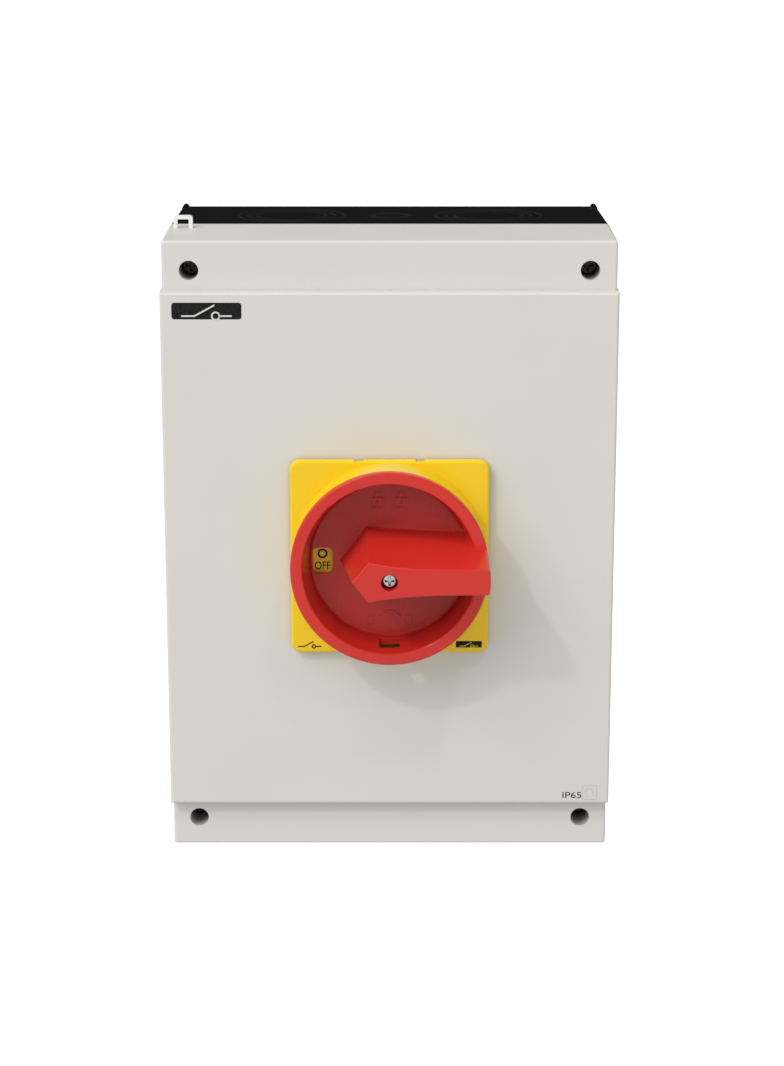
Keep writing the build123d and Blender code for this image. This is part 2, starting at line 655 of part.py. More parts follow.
def latch_lid():
    """The lid of the latch box, with the shaft's front bearing."""
    lid = prism(RectangleRounded(DECK_WIDTH, DECK_HEIGHT, 3), LID_BACK_Y, LID_FRONT_Y)
    lid = fillet(edges_at(lid, LID_FRONT_Y), 1.0)
    lid = lid - rod(LID_JOURNAL_R + RUNNING, LID_BACK_Y + 1, LID_FRONT_Y - 1)
    for x, z in corners(TIE_X, TIE_Z):
        lid = lid - rod(TIE_R + 0.1, LID_BACK_Y + 1, LID_FRONT_Y - 1, x, z)
    return lid


def latch_rollers():
    """The two rollers that the springs press into the star's notches."""
    back = STACK_FRONT_Y - DECK_FLOOR - 0.3
    return joined([rod(ROLLER_R, back, LID_BACK_Y + 0.3, side * ROLLER_AT) for side in (-1, 1)])


def latch_springs():
    """The two latch springs, as plain cylinders of their outside size."""
    middle = (STACK_FRONT_Y - DECK_FLOOR + LID_BACK_Y) / 2
    length = SPRING_END - ROLLER_AT - ROLLER_R
    centre = (SPRING_END + ROLLER_AT + ROLLER_R) / 2
    spring = Rot(0, 90, 0) * Cylinder(SPRING_R, length)
    return joined([Pos(side * centre, middle, 0) * spring for side in (-1, 1)])


def tie_bolts():
    """Four long bolts that hold the lid, latch box, decks and back plate together."""
    length = FOOT_FRONT_Y + FOOT_THICK - LID_FRONT_Y
    return joined(
        [screw(x, z, LID_FRONT_Y, head_r=3.4, head_height=2.8, shank_r=TIE_R, length=length, dome=0.6)
         for x, z in corners(TIE_X, TIE_Z)]
    )


def terminal_places():
    """Each terminal's column x, contact depth and side (1 up, -1 down)."""
    return [(POLE_XS[deck], deck_middle(deck), side) for deck in range(DECK_COUNT) for side in (-1, 1)]


def terminal_clamps():
    """Six box clamps on the ends of the fixed contacts; the conductor goes in behind the bar."""
    clamps = []
    for x, middle, side in terminal_places():
        low, high = sorted((side * CLAMP_Z[0], side * CLAMP_Z[1]))
        half = CLAMP_WIDTH / 2
        front, back = middle + CLAMP_DEPTH[0], middle + CLAMP_DEPTH[1]
        cage = block((x - half, x + half), (front, back), (low, high))
        wide = (x - CLAMP_MOUTH_HALF, x + CLAMP_MOUTH_HALF)
        mouth = block(wide, (middle - BAR_THICK / 2 - SLIP, back - 2), (low - 1, high + 1))
        clamps.append(cage - mouth - rod(2.5, middle, front - 1, x, (low + high) / 2))
    return joined(clamps)


def terminal_screws():
    """Six clamp screws, all reached from the front."""
    centre = (CLAMP_Z[0] + CLAMP_Z[1]) / 2
    return joined(
        [screw(x, side * centre, middle - 6.0, head_r=3.6, head_height=3.0, shank_r=2.5, length=5.0,
               dome=0.4)
         for x, middle, side in terminal_places()]
    )


def terminal_shroud(side):
    """The finger guard over one side's terminals: a front wall, two cheeks and two barriers."""
    low, high = sorted((side * DECK_HEIGHT / 2, side * SHROUD_OUTER_Z))
    back, front = FOOT_FRONT_Y - 3, STACK_FRONT_Y - 6
    half = DECK_WIDTH / 2
    walls = [block((-half, half), (front, front + SHROUD_WALL), (low, high))]
    for x in (-half + 1, -POLE_PITCH / 2, POLE_PITCH / 2, half - 1):
        walls.append(block((x - 1, x + 1), (front, back), (low, high)))
    shroud = joined(walls)
    centre = side * (CLAMP_Z[0] + CLAMP_Z[1]) / 2
    for x in POLE_XS:
        shroud = shroud - rod(SHROUD_HOLE_R, front + SHROUD_WALL + 1, front - 1, x, centre)
    return shroud


def terminal_carriers():
    """Two blocks on the back wall that carry the neutral bar (left) and the earth bar (right)."""
    return joined(
        [slab(*CARRIER_SIZE, -BACK_WALL, CARRIER_FRONT_Y, side * BUSBAR_X) for side in (-1, 1)]
    )


def busbar(side):
    """A brass terminal bar with four cross holes for wires and four screws."""
    front = CARRIER_FRONT_Y - BUSBAR_DEPTH
    x = side * BUSBAR_X
    bar = slab(BUSBAR_WIDTH, BUSBAR_LENGTH, CARRIER_FRONT_Y, front, x)
    wire_y = CARRIER_FRONT_Y - 4
    for z in BUSBAR_SCREWS_Z:
        bar = bar - Pos(x, wire_y, z) * Rot(0, 90, 0) * Cylinder(BUSBAR_WIRE_R, BUSBAR_WIDTH + 2)
        bar = bar - rod(BUSBAR_THREAD_R, wire_y, front - 1, x, z)
    return bar


def busbar_screws():
    """Eight screws of the neutral and earth bars."""
    front = CARRIER_FRONT_Y - BUSBAR_DEPTH
    return joined(
        [screw(side * BUSBAR_X, z, front - 0.5, head_r=3.0, head_height=2.0, shank_r=BUSBAR_THREAD_R,
               length=3.5, dome=0.4)
         for side in (-1, 1) for z in BUSBAR_SCREWS_Z]
    )


# ---- switch: turning pieces ------------------------------------------------------------------------
def drive_shaft():
    """The long square shaft from the switch's rear bearing to the coupling."""
    square = slab(SHAFT, SHAFT, FOOT_FRONT_Y - 0.5, SHAFT_TIP_Y)
    square = chamfer(edges_at(square, SHAFT_TIP_Y), 1.0)
    journal = rod(SHAFT_JOURNAL_R, FOOT_FRONT_Y + FOOT_THICK - 0.5, FOOT_FRONT_Y - 0.5)
    return square + journal


def blade_pair(deck):
    """The two blades of one deck, one on each side of the contact plane, along X at OFF."""
    middle = deck_middle(deck)
    outline = Rectangle(2 * BLADE_R, BLADE_WIDTH) & Circle(BLADE_R)
    outline = outline - Rectangle(SHAFT + 2 * SLIP, SHAFT + 2 * SLIP)
    near = middle + BLADE_GAP / 2
    far = middle - BLADE_GAP / 2
    return [prism(outline, near + BLADE_THICK, near), prism(outline, far, far - BLADE_THICK)]


def moving_contacts():
    """The blade pairs of all three decks."""
    return joined([blade for deck in range(DECK_COUNT) for blade in blade_pair(deck)])


def rotor_disc(deck):
    """One insulating rotor: a disc slotted for the blades, on a hub that spaces the decks."""
    middle = deck_middle(deck)
    disc = rod(DISC_R, middle + DISC_THICK / 2, middle - DISC_THICK / 2)
    hub = rod(HUB_R, DECK_BACKS[deck], DECK_BACKS[deck] - DECK_THICK)
    body = disc + hub - slab(SHAFT + 2 * SLIP, SHAFT + 2 * SLIP, 0, STACK_FRONT_Y - 5)
    reach = BLADE_GAP / 2 + BLADE_THICK + SLIP
    return body - slab(2 * DISC_R + 2, BLADE_WIDTH + 2 * SLIP, middle + reach, middle - reach)


def latch_star():
    """The notched wheel that gives the switch its stops every quarter turn."""
    star = rod(STAR_R, STACK_FRONT_Y - DECK_FLOOR - 0.3, LID_BACK_Y + 0.3)
    for x, z in ((STAR_NOTCH_AT, 0), (-STAR_NOTCH_AT, 0), (0, STAR_NOTCH_AT), (0, -STAR_NOTCH_AT)):
        star = star - rod(STAR_NOTCH_R, STACK_FRONT_Y, LID_FRONT_Y, x, z)
    hub = rod(HUB_R, STACK_FRONT_Y, LID_BACK_Y)
    journal = rod(LID_JOURNAL_R, LID_BACK_Y + 0.3, LID_FRONT_Y - 0.4)
    star = joined([star, hub, journal])
    return star - slab(SHAFT + 2 * SLIP, SHAFT + 2 * SLIP, 0, LID_FRONT_Y - 2)


def shaft_clip():
    """The clip that keeps the star and shaft from moving forwards."""
    back = LID_FRONT_Y - 0.4
    return prism(Circle(CLIP_R) - Rectangle(SHAFT + 2 * SLIP, SHAFT + 2 * SLIP), back, back - CLIP_THICK)


NODES = {
    "enclosure_base": enclosure_base,
    "cover_gasket": cover_gasket,
    "threaded_inserts": threaded_inserts,
    "enclosure_cover": enclosure_cover,
    "seal_loop": seal_loop,
    "cover_screws": cover_screws,
    "cover_screw_seals": cover_screw_seals,
    "front_plate": front_plate,
    "plate_gasket": plate_gasket,
    "plate_screws": plate_screws,
    "shaft_seal": shaft_seal,
    "locking_ring": locking_ring,
    "handle": handle,
    "handle_washer": handle_washer,
    "handle_screw": handle_screw,
    "shaft_coupling": shaft_coupling,
    "switch_back_plate": switch_back_plate,
    "switch_mount_screws": switch_mount_screws,
    "deck_housing_1": lambda: deck_housing(0),
    "deck_housing_2": lambda: deck_housing(1),
    "deck_housing_3": lambda: deck_housing(2),
    "fixed_contacts_line": lambda: fixed_contacts(1),
    "fixed_contacts_load": lambda: fixed_contacts(-1),
    "latch_housing": latch_housing,
    "latch_lid": latch_lid,
    "latch_rollers": latch_rollers,
    "latch_springs": latch_springs,
    "tie_bolts": tie_bolts,
    "terminal_clamps": terminal_clamps,
    "terminal_screws": terminal_screws,
    "terminal_shroud_line": lambda: terminal_shroud(1),
    "terminal_shroud_load": lambda: terminal_shroud(-1),
    "terminal_carriers": terminal_carriers,
    "neutral_bar": lambda: busbar(-1),
    "earth_bar": lambda: busbar(1),
    "busbar_screws": busbar_screws,
    "drive_shaft": drive_shaft,
    "rotor_disc_1": lambda: rotor_disc(0),
    "rotor_disc_2": lambda: rotor_disc(1),
    "rotor_disc_3": lambda: rotor_disc(2),
    "moving_contacts": moving_contacts,
    "latch_star": latch_star,
    "shaft_clip": shaft_clip,
}

os.makedirs("parts", exist_ok=True)
for node, build in NODES.items():
    export_step(build(), f"parts/{node}.step")
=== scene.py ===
"""Looks of a wall-mounted rotary isolator switch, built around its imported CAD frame."""
import json
import logging
import math
from collections.abc import Callable
from dataclasses import dataclass, field
from enum import Enum

import bpy
import numpy as np
from mathutils import Euler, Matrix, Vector


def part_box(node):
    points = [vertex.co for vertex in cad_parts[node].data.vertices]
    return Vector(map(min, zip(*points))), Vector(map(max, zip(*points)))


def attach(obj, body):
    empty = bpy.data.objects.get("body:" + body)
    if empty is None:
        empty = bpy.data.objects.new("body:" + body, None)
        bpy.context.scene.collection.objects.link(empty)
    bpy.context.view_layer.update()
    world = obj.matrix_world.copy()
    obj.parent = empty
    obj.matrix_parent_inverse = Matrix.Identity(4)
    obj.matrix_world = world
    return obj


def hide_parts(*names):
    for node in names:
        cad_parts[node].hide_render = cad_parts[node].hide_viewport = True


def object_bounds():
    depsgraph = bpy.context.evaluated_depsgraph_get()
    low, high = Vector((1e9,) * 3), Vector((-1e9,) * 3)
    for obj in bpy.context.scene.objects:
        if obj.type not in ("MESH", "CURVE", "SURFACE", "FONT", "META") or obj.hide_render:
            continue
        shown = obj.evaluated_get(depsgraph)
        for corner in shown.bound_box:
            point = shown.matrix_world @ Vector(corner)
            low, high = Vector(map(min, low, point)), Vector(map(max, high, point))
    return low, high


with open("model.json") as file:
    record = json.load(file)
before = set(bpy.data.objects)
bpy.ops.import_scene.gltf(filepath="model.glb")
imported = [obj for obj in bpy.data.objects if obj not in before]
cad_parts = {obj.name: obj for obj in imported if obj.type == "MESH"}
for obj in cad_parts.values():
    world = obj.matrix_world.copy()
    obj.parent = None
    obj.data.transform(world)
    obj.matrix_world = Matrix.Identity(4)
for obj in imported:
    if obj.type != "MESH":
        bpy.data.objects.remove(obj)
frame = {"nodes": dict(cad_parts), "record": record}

CAD_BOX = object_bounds()
MM = 0.001
DISH_FLOOR = 2.2 * MM    # the thickness of the handle's floor
OVERPRINT = 1.6          # how thick two layers of print are, in films

log = logging.getLogger("isolator")

Array = np.ndarray
Socket = bpy.types.NodeSocket
Colour = tuple[float, float, float]


class Body(Enum):
    """The bodies that the new pieces ride on."""

    ENCLOSURE = "enclosure"
    COVER = "cover"
    HANDLE = "handle"


class Slot(Enum):
    """The material slots of the switch's pieces."""

    BLACK_PLASTIC = "black_plastic"
    GREY_PLASTIC = "grey_plastic"
    YELLOW_PLASTIC = "yellow_plastic"
    RED_PLASTIC = "red_plastic"
    WHITE_NYLON = "white_nylon"
    BLACK_SCREW = "black_screw"
    ZINC_STEEL = "zinc_steel"
    SPRING_STEEL = "spring_steel"
    BRASS = "brass_metal"
    COPPER = "copper_metal"
    FOAM = "foam_seal"
    RUBBER = "rubber_seal"
    BLACK_MOULDING = "black_moulding"
    GREY_MOULDING = "grey_moulding"


def tone(red: int, green: int, blue: int) -> Colour:
    """A display colour of 0 to 255 per channel as linear light.

    Args:
        red: the red channel.
        green: the green channel.
        blue: the blue channel.

    Returns:
        The three linear values.
    """
    def linear(value: float) -> float:
        """One channel, by the display curve: a short straight foot, then a power of 2.4."""
        share = value / 255.0
        return share / 12.92 if share <= 0.04045 else ((share + 0.055) / 1.055) ** 2.4

    return linear(red), linear(green), linear(blue)


# ---- shader graphs ---------------------------------------------------------------------------------
class Tree:
    """A node tree, with short ways to add and join nodes."""

    def __init__(self, tree: bpy.types.NodeTree) -> None:
        """Takes the tree that the nodes go into."""
        self.tree = tree

    def add(self, kind: str, **settings: object) -> bpy.types.Node:
        """Adds a node.

        Args:
            kind: the node's type name.
            settings: properties of the node, by name.

        Returns:
            The new node.
        """
        node = self.tree.nodes.new(kind)
        for name, value in settings.items():
            setattr(node, name, value)
        return node

    def join(self, source: Socket, target: Socket) -> None:
        """Links an output to an input."""
        self.tree.links.new(source, target)

    def ranged(self, value: Socket, low: float, high: float, start: float = 0.3,
               stop: float = 0.7) -> Socket:
        """Maps a value from start..stop to low..high, held at the ends.

        Args:
            value: the value to map.
            low: the result at start and below.
            high: the result at stop and above.
            start: where the ramp begins.
            stop: where the ramp ends.

        Returns:
            The mapped value.
        """
        node = self.add("ShaderNodeMapRange", clamp=True)
        for name, number in (("From Min", start), ("From Max", stop), ("To Min", low), ("To Max", high)):
            node.inputs[name].default_value = number
        self.join(value, node.inputs["Value"])
        return node.outputs["Result"]

    def combine(self, operation: str, first: Socket, second: Socket) -> Socket:
        """Puts two values together by the named operation of the maths node."""
        node = self.add("ShaderNodeMath", operation=operation)
        self.join(first, node.inputs[0])
        self.join(second, node.inputs[1])
        return node.outputs["Value"]


class Graph(Tree):
    """A material's node tree."""

    def __init__(self, name: str) -> None:
        """Starts a material with a Principled shader.

        Args:
            name: the material's name.
        """
        self.material = bpy.data.materials.new(name)
        self.material.use_nodes = True
        super().__init__(self.material.node_tree)
        self.shader = self.tree.nodes["Principled BSDF"]
        self.place = self.add("ShaderNodeTexCoord").outputs["Object"]

    def noise(self, size: float, detail: float = 3.0, stretch: Vector | None = None) -> Socket:
        """Fractal noise on the piece's own coordinates.

        Args:
            size: the width of one blotch in metres.
            detail: how many finer octaves it has.
            stretch: how much the pattern is squeezed along each axis, if it isn't even.

        Returns:
            The noise value, about 0.5 on average.
        """
        node = self.add("ShaderNodeTexNoise")
        node.inputs["Scale"].default_value = 1.0 / size
        node.inputs["Detail"].default_value = detail
        if stretch is None:
            self.join(self.place, node.inputs["Vector"])
        else:
            mapping = self.add("ShaderNodeMapping")
            mapping.inputs["Scale"].default_value = stretch
            self.join(self.place, mapping.inputs["Vector"])
            self.join(mapping.outputs["Vector"], node.inputs["Vector"])
        return node.outputs["Fac"]

    def blend(self, share: Socket, first: Socket | Colour,
              second: Socket | Colour) -> Socket:
        """Mixes two colours by a share.

        Args:
            share: 0 for the first colour, 1 for the second.
            first: a socket or a fixed colour.
            second: a socket or a fixed colour.

        Returns:
            The mixed colour.
        """
        node = self.add("ShaderNodeMix", data_type="RGBA")
        self.join(share, node.inputs["Factor"])
        for name, colour in (("A", first), ("B", second)):
            socket = [i for i in node.inputs if i.name == name and i.type == "RGBA"][0]
            if isinstance(colour, tuple):
                socket.default_value = (*colour, 1.0)
            else:
                self.join(colour, socket)
        return [o for o in node.outputs if o.type == "RGBA"][0]

    def edges(self, radius: float) -> tuple[Socket, Socket]:
        """A softened normal at sharp edges, and a mask of where it differs from the flat one.

        Args:
            radius: the radius of the softened edge in metres.

        Returns:
            The softened normal and the mask, 0 on flats and towards 1 on edges.
        """
        bevel = self.add("ShaderNodeBevel", samples=6)
        bevel.inputs["Radius"].default_value = radius
        flat = self.add("ShaderNodeNewGeometry").outputs["Normal"]
        dot = self.add("ShaderNodeVectorMath", operation="DOT_PRODUCT")
        self.join(bevel.outputs["Normal"], dot.inputs[0])
        self.join(flat, dot.inputs[1])
        return bevel.outputs["Normal"], self.ranged(dot.outputs["Value"], 1.0, 0.0, 0.86, 0.995)

    def recessed(self, colour: Socket, painted_shade_colour: Colour, width: float, dark: float,
                 unshaded: float) -> Socket:
        """Darkens a colour in recesses narrower than a width.

        Args:
            colour: the colour of the open surface.
            painted_shade_colour: the painted shade at the bottom of a recess.
            width: how far the walls of a recess may lie apart, in metres.
            dark: the open share of the view under which all is painted shade.
            unshaded: the open share over which there is none.

        Returns:
            The mixed colour.
        """
        hollow = self.add("ShaderNodeAmbientOcclusion", samples=6)
        hollow.inputs["Distance"].default_value = width
        return self.blend(self.ranged(hollow.outputs["AO"], 0.0, 1.0, dark, unshaded), painted_shade_colour, colour)

    def bump(self, height: Socket, distance: float, strength: float,
             normal: Socket | None = None) -> Socket:
        """Turns a height into a bumped normal.

        Args:
            height: the height pattern, 0 to 1.
            distance: how tall a height of 1 is, in metres.
            strength: how much of it shows.
            normal: the normal that it starts from.

        Returns:
            The bumped normal.
        """
        node = self.add("ShaderNodeBump")
        node.inputs["Distance"].default_value = distance
        node.inputs["Strength"].default_value = strength
        self.join(height, node.inputs["Height"])
        if normal is not None:
            self.join(normal, node.inputs["Normal"])
        return node.outputs["Normal"]


# ---- finishes --------------------------------------------------------------------------------------
@dataclass(frozen=True)
class MouldedPlastic:
    """Moulded plastic: slow drifts of shade, a spark-eroded grain and paler edges, part wear and part painted
    highlight.

    The shade is the base colour times a noise of a few centimetres. The roughness drifts with a second
    noise and with faint rubbed streaks. The height is a fine noise of grain size plus a slower ripple.
    Deep holes narrower than well are darkened with painted shade, and a dish can be darkened with painted
    shade between two depths.
    """

    name: str
    colour: Colour
    roughness: float = 0.45
    grain: float = 0.35 * MM
    grain_height: float = 0.012 * MM
    drift: float = 0.03
    # how much paler the edges are: part wear, part a painted highlight where fillets catch light
    edge_light: float = 1.12
    edge_radius: float = 0.35 * MM
    streak: float = 0.012
    specular: float = 0.4
    index: float = 1.5
    scatter: float = 0.0
    # y range over which a dish darkens with painted shade and grows rougher, and how dark the painted shade
    # gets
    matte_depth: tuple[float, float] | None = None
    matte_shade: float = 0.68
    matte_roughness: float = 0.08
    # width and depth of the painted shade in deep holes
    well: float = 0.0
    well_shade: float = 0.25

    def depth(self, graph: Graph, low: float, high: float) -> Socket:
        """A value that goes from low to high between the two y of the dish range, down into a dish."""
        place = graph.add("ShaderNodeSeparateXYZ")
        graph.join(graph.place, place.inputs["Vector"])
        return graph.ranged(place.outputs["Y"], low, high, *self.matte_depth)

    def material(self) -> bpy.types.Material:
        """Builds the node tree and returns the material."""
        graph = Graph(self.name)
        darker = tuple(c * (1.0 - self.drift) for c in self.colour)
        lighter = tuple(min(1.0, c * (1.0 + self.drift)) for c in self.colour)
        # the paler edge colour: part edge wear, part painted highlight on fillets and groove rims
        worn_and_highlit = tuple(min(1.0, c * self.edge_light) for c in self.colour)
        shade = graph.ranged(graph.noise(45 * MM, 4.0), 0.0, 1.0)
        speck = graph.ranged(graph.noise(0.9 * MM, 2.0), 0.0, 0.35, 0.45, 0.75)
        colour = graph.blend(shade, darker, lighter)
        colour = graph.blend(speck, colour, darker)
        # painted shade: the colour darkens down into the dish, where less light reaches
        if self.matte_depth:
            deep = tuple(c * self.matte_shade for c in self.colour)
            colour = graph.blend(self.depth(graph, 0.0, 1.0), colour, deep)
        soft, mask = graph.edges(self.edge_radius)
        ragged = graph.combine("MULTIPLY", mask, graph.ranged(graph.noise(3 * MM, 5.0), 0.35, 1.0))
        colour = graph.blend(ragged, colour, worn_and_highlit)
        # painted shade in deep narrow holes, from an occlusion node
        if self.well:
            dust_and_shade_colour = tuple(c * self.well_shade for c in self.colour)
            colour = graph.recessed(colour, dust_and_shade_colour, self.well, 0.12, 0.42)
        graph.join(colour, graph.shader.inputs["Base Color"])

        streaks = graph.noise(2.2 * MM, 4.0, Vector((1.0, 1.0, 0.12)))
        drifting = graph.ranged(graph.noise(30 * MM, 3.0), self.roughness - 0.02, self.roughness + 0.02)
        rough = graph.combine("ADD", drifting, graph.ranged(streaks, -self.streak, self.streak))
        if self.matte_depth:
            rough = graph.combine("ADD", rough, self.depth(graph, 0.0, self.matte_roughness))
        graph.join(rough, graph.shader.inputs["Roughness"])

        ripple = graph.bump(graph.noise(14 * MM, 2.0), 0.06 * MM, 0.25, soft)
        pits = graph.bump(graph.noise(self.grain, 2.0), self.grain_height, 0.8, ripple)
        graph.join(pits, graph.shader.inputs["Normal"])
        graph.shader.inputs["Specular IOR Level"].default_value = self.specular
        graph.shader.inputs["IOR"].default_value = self.index
        if self.scatter:
            graph.shader.inputs["Subsurface Weight"].default_value = self.scatter
            graph.shader.inputs["Subsurface Radius"].default_value = (1.0, 0.4, 0.25)
            graph.shader.inputs["Subsurface Scale"].default_value = 1.2 * MM
        return graph.material


@dataclass(frozen=True)
class WorkedMetal:
    """Turned, plated or drawn metal: a directional grain, cloudy plating and brighter rubbed edges.

    The grain is a noise squeezed along one axis; it moves the roughness and a very low bump. The cloud is
    a noise of a few millimetres that mixes the colour towards a second tint. Recesses narrower than
    hollow are darkened with painted shade.
    """

    name: str
    colour: Colour
    tint: Colour
    roughness: float = 0.3
    grain: float = 0.25 * MM
    stretch: Vector = field(default_factory=lambda: Vector((1.0, 0.1, 1.0)))
    metallic: float = 1.0
    hollow: float = 1.0 * MM

    def material(self) -> bpy.types.Material:
        """Builds the node tree and returns the material."""
        graph = Graph(self.name)
        cloud = graph.ranged(graph.noise(4 * MM, 5.0), 0.0, 1.0, 0.35, 0.68)
        colour = graph.blend(cloud, self.colour, self.tint)
        soft, mask = graph.edges(0.2 * MM)
        bright = tuple(min(1.0, c * 1.25) for c in self.colour)
        colour = graph.blend(mask, colour, bright)
        # painted shade in narrow recesses such as a screw's cross, from an occlusion node
        painted_recess_shade = tuple(c * 0.08 for c in self.colour)
        colour = graph.recessed(colour, painted_recess_shade, self.hollow, 0.25, 0.8)
        graph.join(colour, graph.shader.inputs["Base Color"])
        grain = graph.noise(self.grain, 3.0, self.stretch)
        graph.join(graph.ranged(grain, self.roughness - 0.08, self.roughness + 0.1),
                   graph.shader.inputs["Roughness"])
        graph.join(graph.bump(grain, 0.006 * MM, 0.6, soft), graph.shader.inputs["Normal"])
        graph.shader.inputs["Metallic"].default_value = self.metallic
        return graph.material


@dataclass(frozen=True)
class SoftSeal:
    """Rubber or foam: dark, dull, with open cells whose depth sets how coarse it looks.

    The cells are a Voronoi pattern: the distance to the nearest cell centre is the height, and it also
    darkens the pits.
    """

    name: str
    colour: Colour
    cell: float
    depth: float
    roughness: float = 0.85

    def material(self) -> bpy.types.Material:
        """Builds the node tree and returns the material."""
        graph = Graph(self.name)
        cells = graph.add("ShaderNodeTexVoronoi")
        cells.inputs["Scale"].default_value = 1.0 / self.cell
        graph.join(graph.place, cells.inputs["Vector"])
        height = cells.outputs["Distance"]
        pit = tuple(c * 0.45 for c in self.colour)
        colour = graph.blend(graph.ranged(height, 0.0, 1.0, 0.0, 0.6), pit, self.colour)
        dust_and_shade_colour = tuple(c * 1.6 + 0.01 for c in self.colour)
        dust = graph.ranged(graph.noise(6 * MM, 5.0), 0.0, 0.4, 0.45, 0.8)
        graph.join(graph.blend(dust, colour, dust_and_shade_colour), graph.shader.inputs["Base Color"])
        graph.join(graph.ranged(graph.noise(3 * MM), self.roughness - 0.08, self.roughness + 0.08),
                   graph.shader.inputs["Roughness"])
        graph.join(graph.bump(height, self.depth, 0.9), graph.shader.inputs["Normal"])
        return graph.material


@dataclass(frozen=True)
class PadInk:
    """Pad-printed ink: an even film whose cover thins a little in tiny specks.

    The colour is mixed towards the plastic under it by a fine noise, and the roughness follows the
    plastic's grain.
    """

    name: str
    colour: Colour
    ground: Colour
    roughness: float = 0.6
    specular: float = 0.15

    def material(self) -> bpy.types.Material:
        """Builds the node tree and returns the material."""
        graph = Graph(self.name)
        graph.shader.inputs["Specular IOR Level"].default_value = self.specular
        thin = graph.ranged(graph.noise(0.35 * MM, 3.0), 0.0, 0.07, 0.5, 0.8)
        graph.join(graph.blend(thin, self.colour, self.ground), graph.shader.inputs["Base Color"])
        grain = graph.noise(0.4 * MM, 2.0)
        graph.join(graph.ranged(grain, self.roughness - 0.06, self.roughness + 0.08),
                   graph.shader.inputs["Roughness"])
        graph.join(graph.bump(grain, 0.01 * MM, 0.5), graph.shader.inputs["Normal"])
        return graph.material


@dataclass
class Palette:
    """Every finish of the switch, with each material made once."""

    grey: Colour = tone(217, 214, 209)
    yellow: Colour = tone(240, 203, 34)
    red: Colour = tone(208, 46, 38)
    black: Colour = tone(13, 13, 14)
    made: dict[str, bpy.types.Material] = field(default_factory=dict)

    def finishes(self) -> dict[Slot, object]:
        """The finish of each material slot."""
        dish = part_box("handle")[1].y - DISH_FLOOR
        return {
            # the grey gets painted shade in its deep screw wells
            Slot.GREY_PLASTIC: MouldedPlastic("grey plastic", self.grey, roughness=0.5, drift=0.012,
                                              edge_light=1.07, well=9 * MM),
            # the black's much paler edges are mostly a painted highlight on the knock-out groove rims
            Slot.BLACK_PLASTIC: MouldedPlastic("black plastic", self.black, roughness=0.4, drift=0.15,
                                               edge_light=12.0, edge_radius=0.8 * MM, specular=0.3,
                                               index=1.12),
            Slot.YELLOW_PLASTIC: MouldedPlastic("yellow plastic", self.yellow, roughness=0.22, drift=0.02,
                                                edge_light=1.3, grain_height=0.004 * MM, index=1.36,
                                                specular=0.4),
            # the red darkens down into its dish with painted shade
            Slot.RED_PLASTIC: MouldedPlastic("red plastic", self.red, roughness=0.2, drift=0.03,
                                             edge_light=1.5, grain_height=0.004 * MM, specular=0.3,
                                             streak=0.003,
                                             matte_depth=(dish - 11 * MM, dish - 1 * MM)),
            Slot.WHITE_NYLON: MouldedPlastic("white nylon", tone(238, 238, 236), roughness=0.4, drift=0.01,
                                             edge_light=1.03, scatter=0.1),
            Slot.BLACK_MOULDING: MouldedPlastic("black moulding", tone(34, 34, 36), roughness=0.42,
                                                drift=0.12, edge_light=1.7, grain=0.6 * MM),
            Slot.GREY_MOULDING: MouldedPlastic("grey moulding", tone(120, 123, 126), roughness=0.45,
                                               drift=0.05, edge_light=1.15, grain=0.6 * MM),
            Slot.BLACK_SCREW: WorkedMetal("black oxide steel", tone(68, 68, 64), tone(84, 82, 78), 0.4,
                                          metallic=0.6),
            Slot.ZINC_STEEL: WorkedMetal("zinc plated steel", tone(190, 192, 194), tone(168, 170, 170), 0.28),
            Slot.SPRING_STEEL: WorkedMetal("spring steel", tone(150, 150, 152), tone(120, 118, 116), 0.3),
            Slot.BRASS: WorkedMetal("turned brass", tone(206, 178, 108), tone(180, 148, 84), 0.26),
            Slot.COPPER: WorkedMetal("plated copper", tone(205, 150, 118), tone(180, 118, 88), 0.3),
            Slot.FOAM: SoftSeal("foam seal", tone(46, 46, 47), 0.5 * MM, 0.12 * MM),
            Slot.RUBBER: SoftSeal("rubber seal", tone(36, 36, 37), 0.25 * MM, 0.02 * MM, 0.6),
        }

    def take(self, finish: object) -> bpy.types.Material:
        """The material of a finish, made the first time it is asked for."""
        if finish.name not in self.made:
            self.made[finish.name] = finish.material()
        return self.made[finish.name]

    def of(self, slot: Slot) -> bpy.types.Material:
        """The material of a slot."""
        return self.take(self.finishes()[slot])

    def black_ink(self, ground: Colour) -> bpy.types.Material:
        """Black print on a plastic of the ground colour."""
        return self.take(PadInk(f"black ink on {round(ground[2], 3)}", tone(9, 9, 10), ground))

    def pale_ink(self, ground: Colour) -> bpy.types.Material:
        """Print in the ground's own colour over black ink."""
        return self.take(PadInk(f"pale ink {round(ground[2], 3)}", ground, tone(150, 150, 150)))


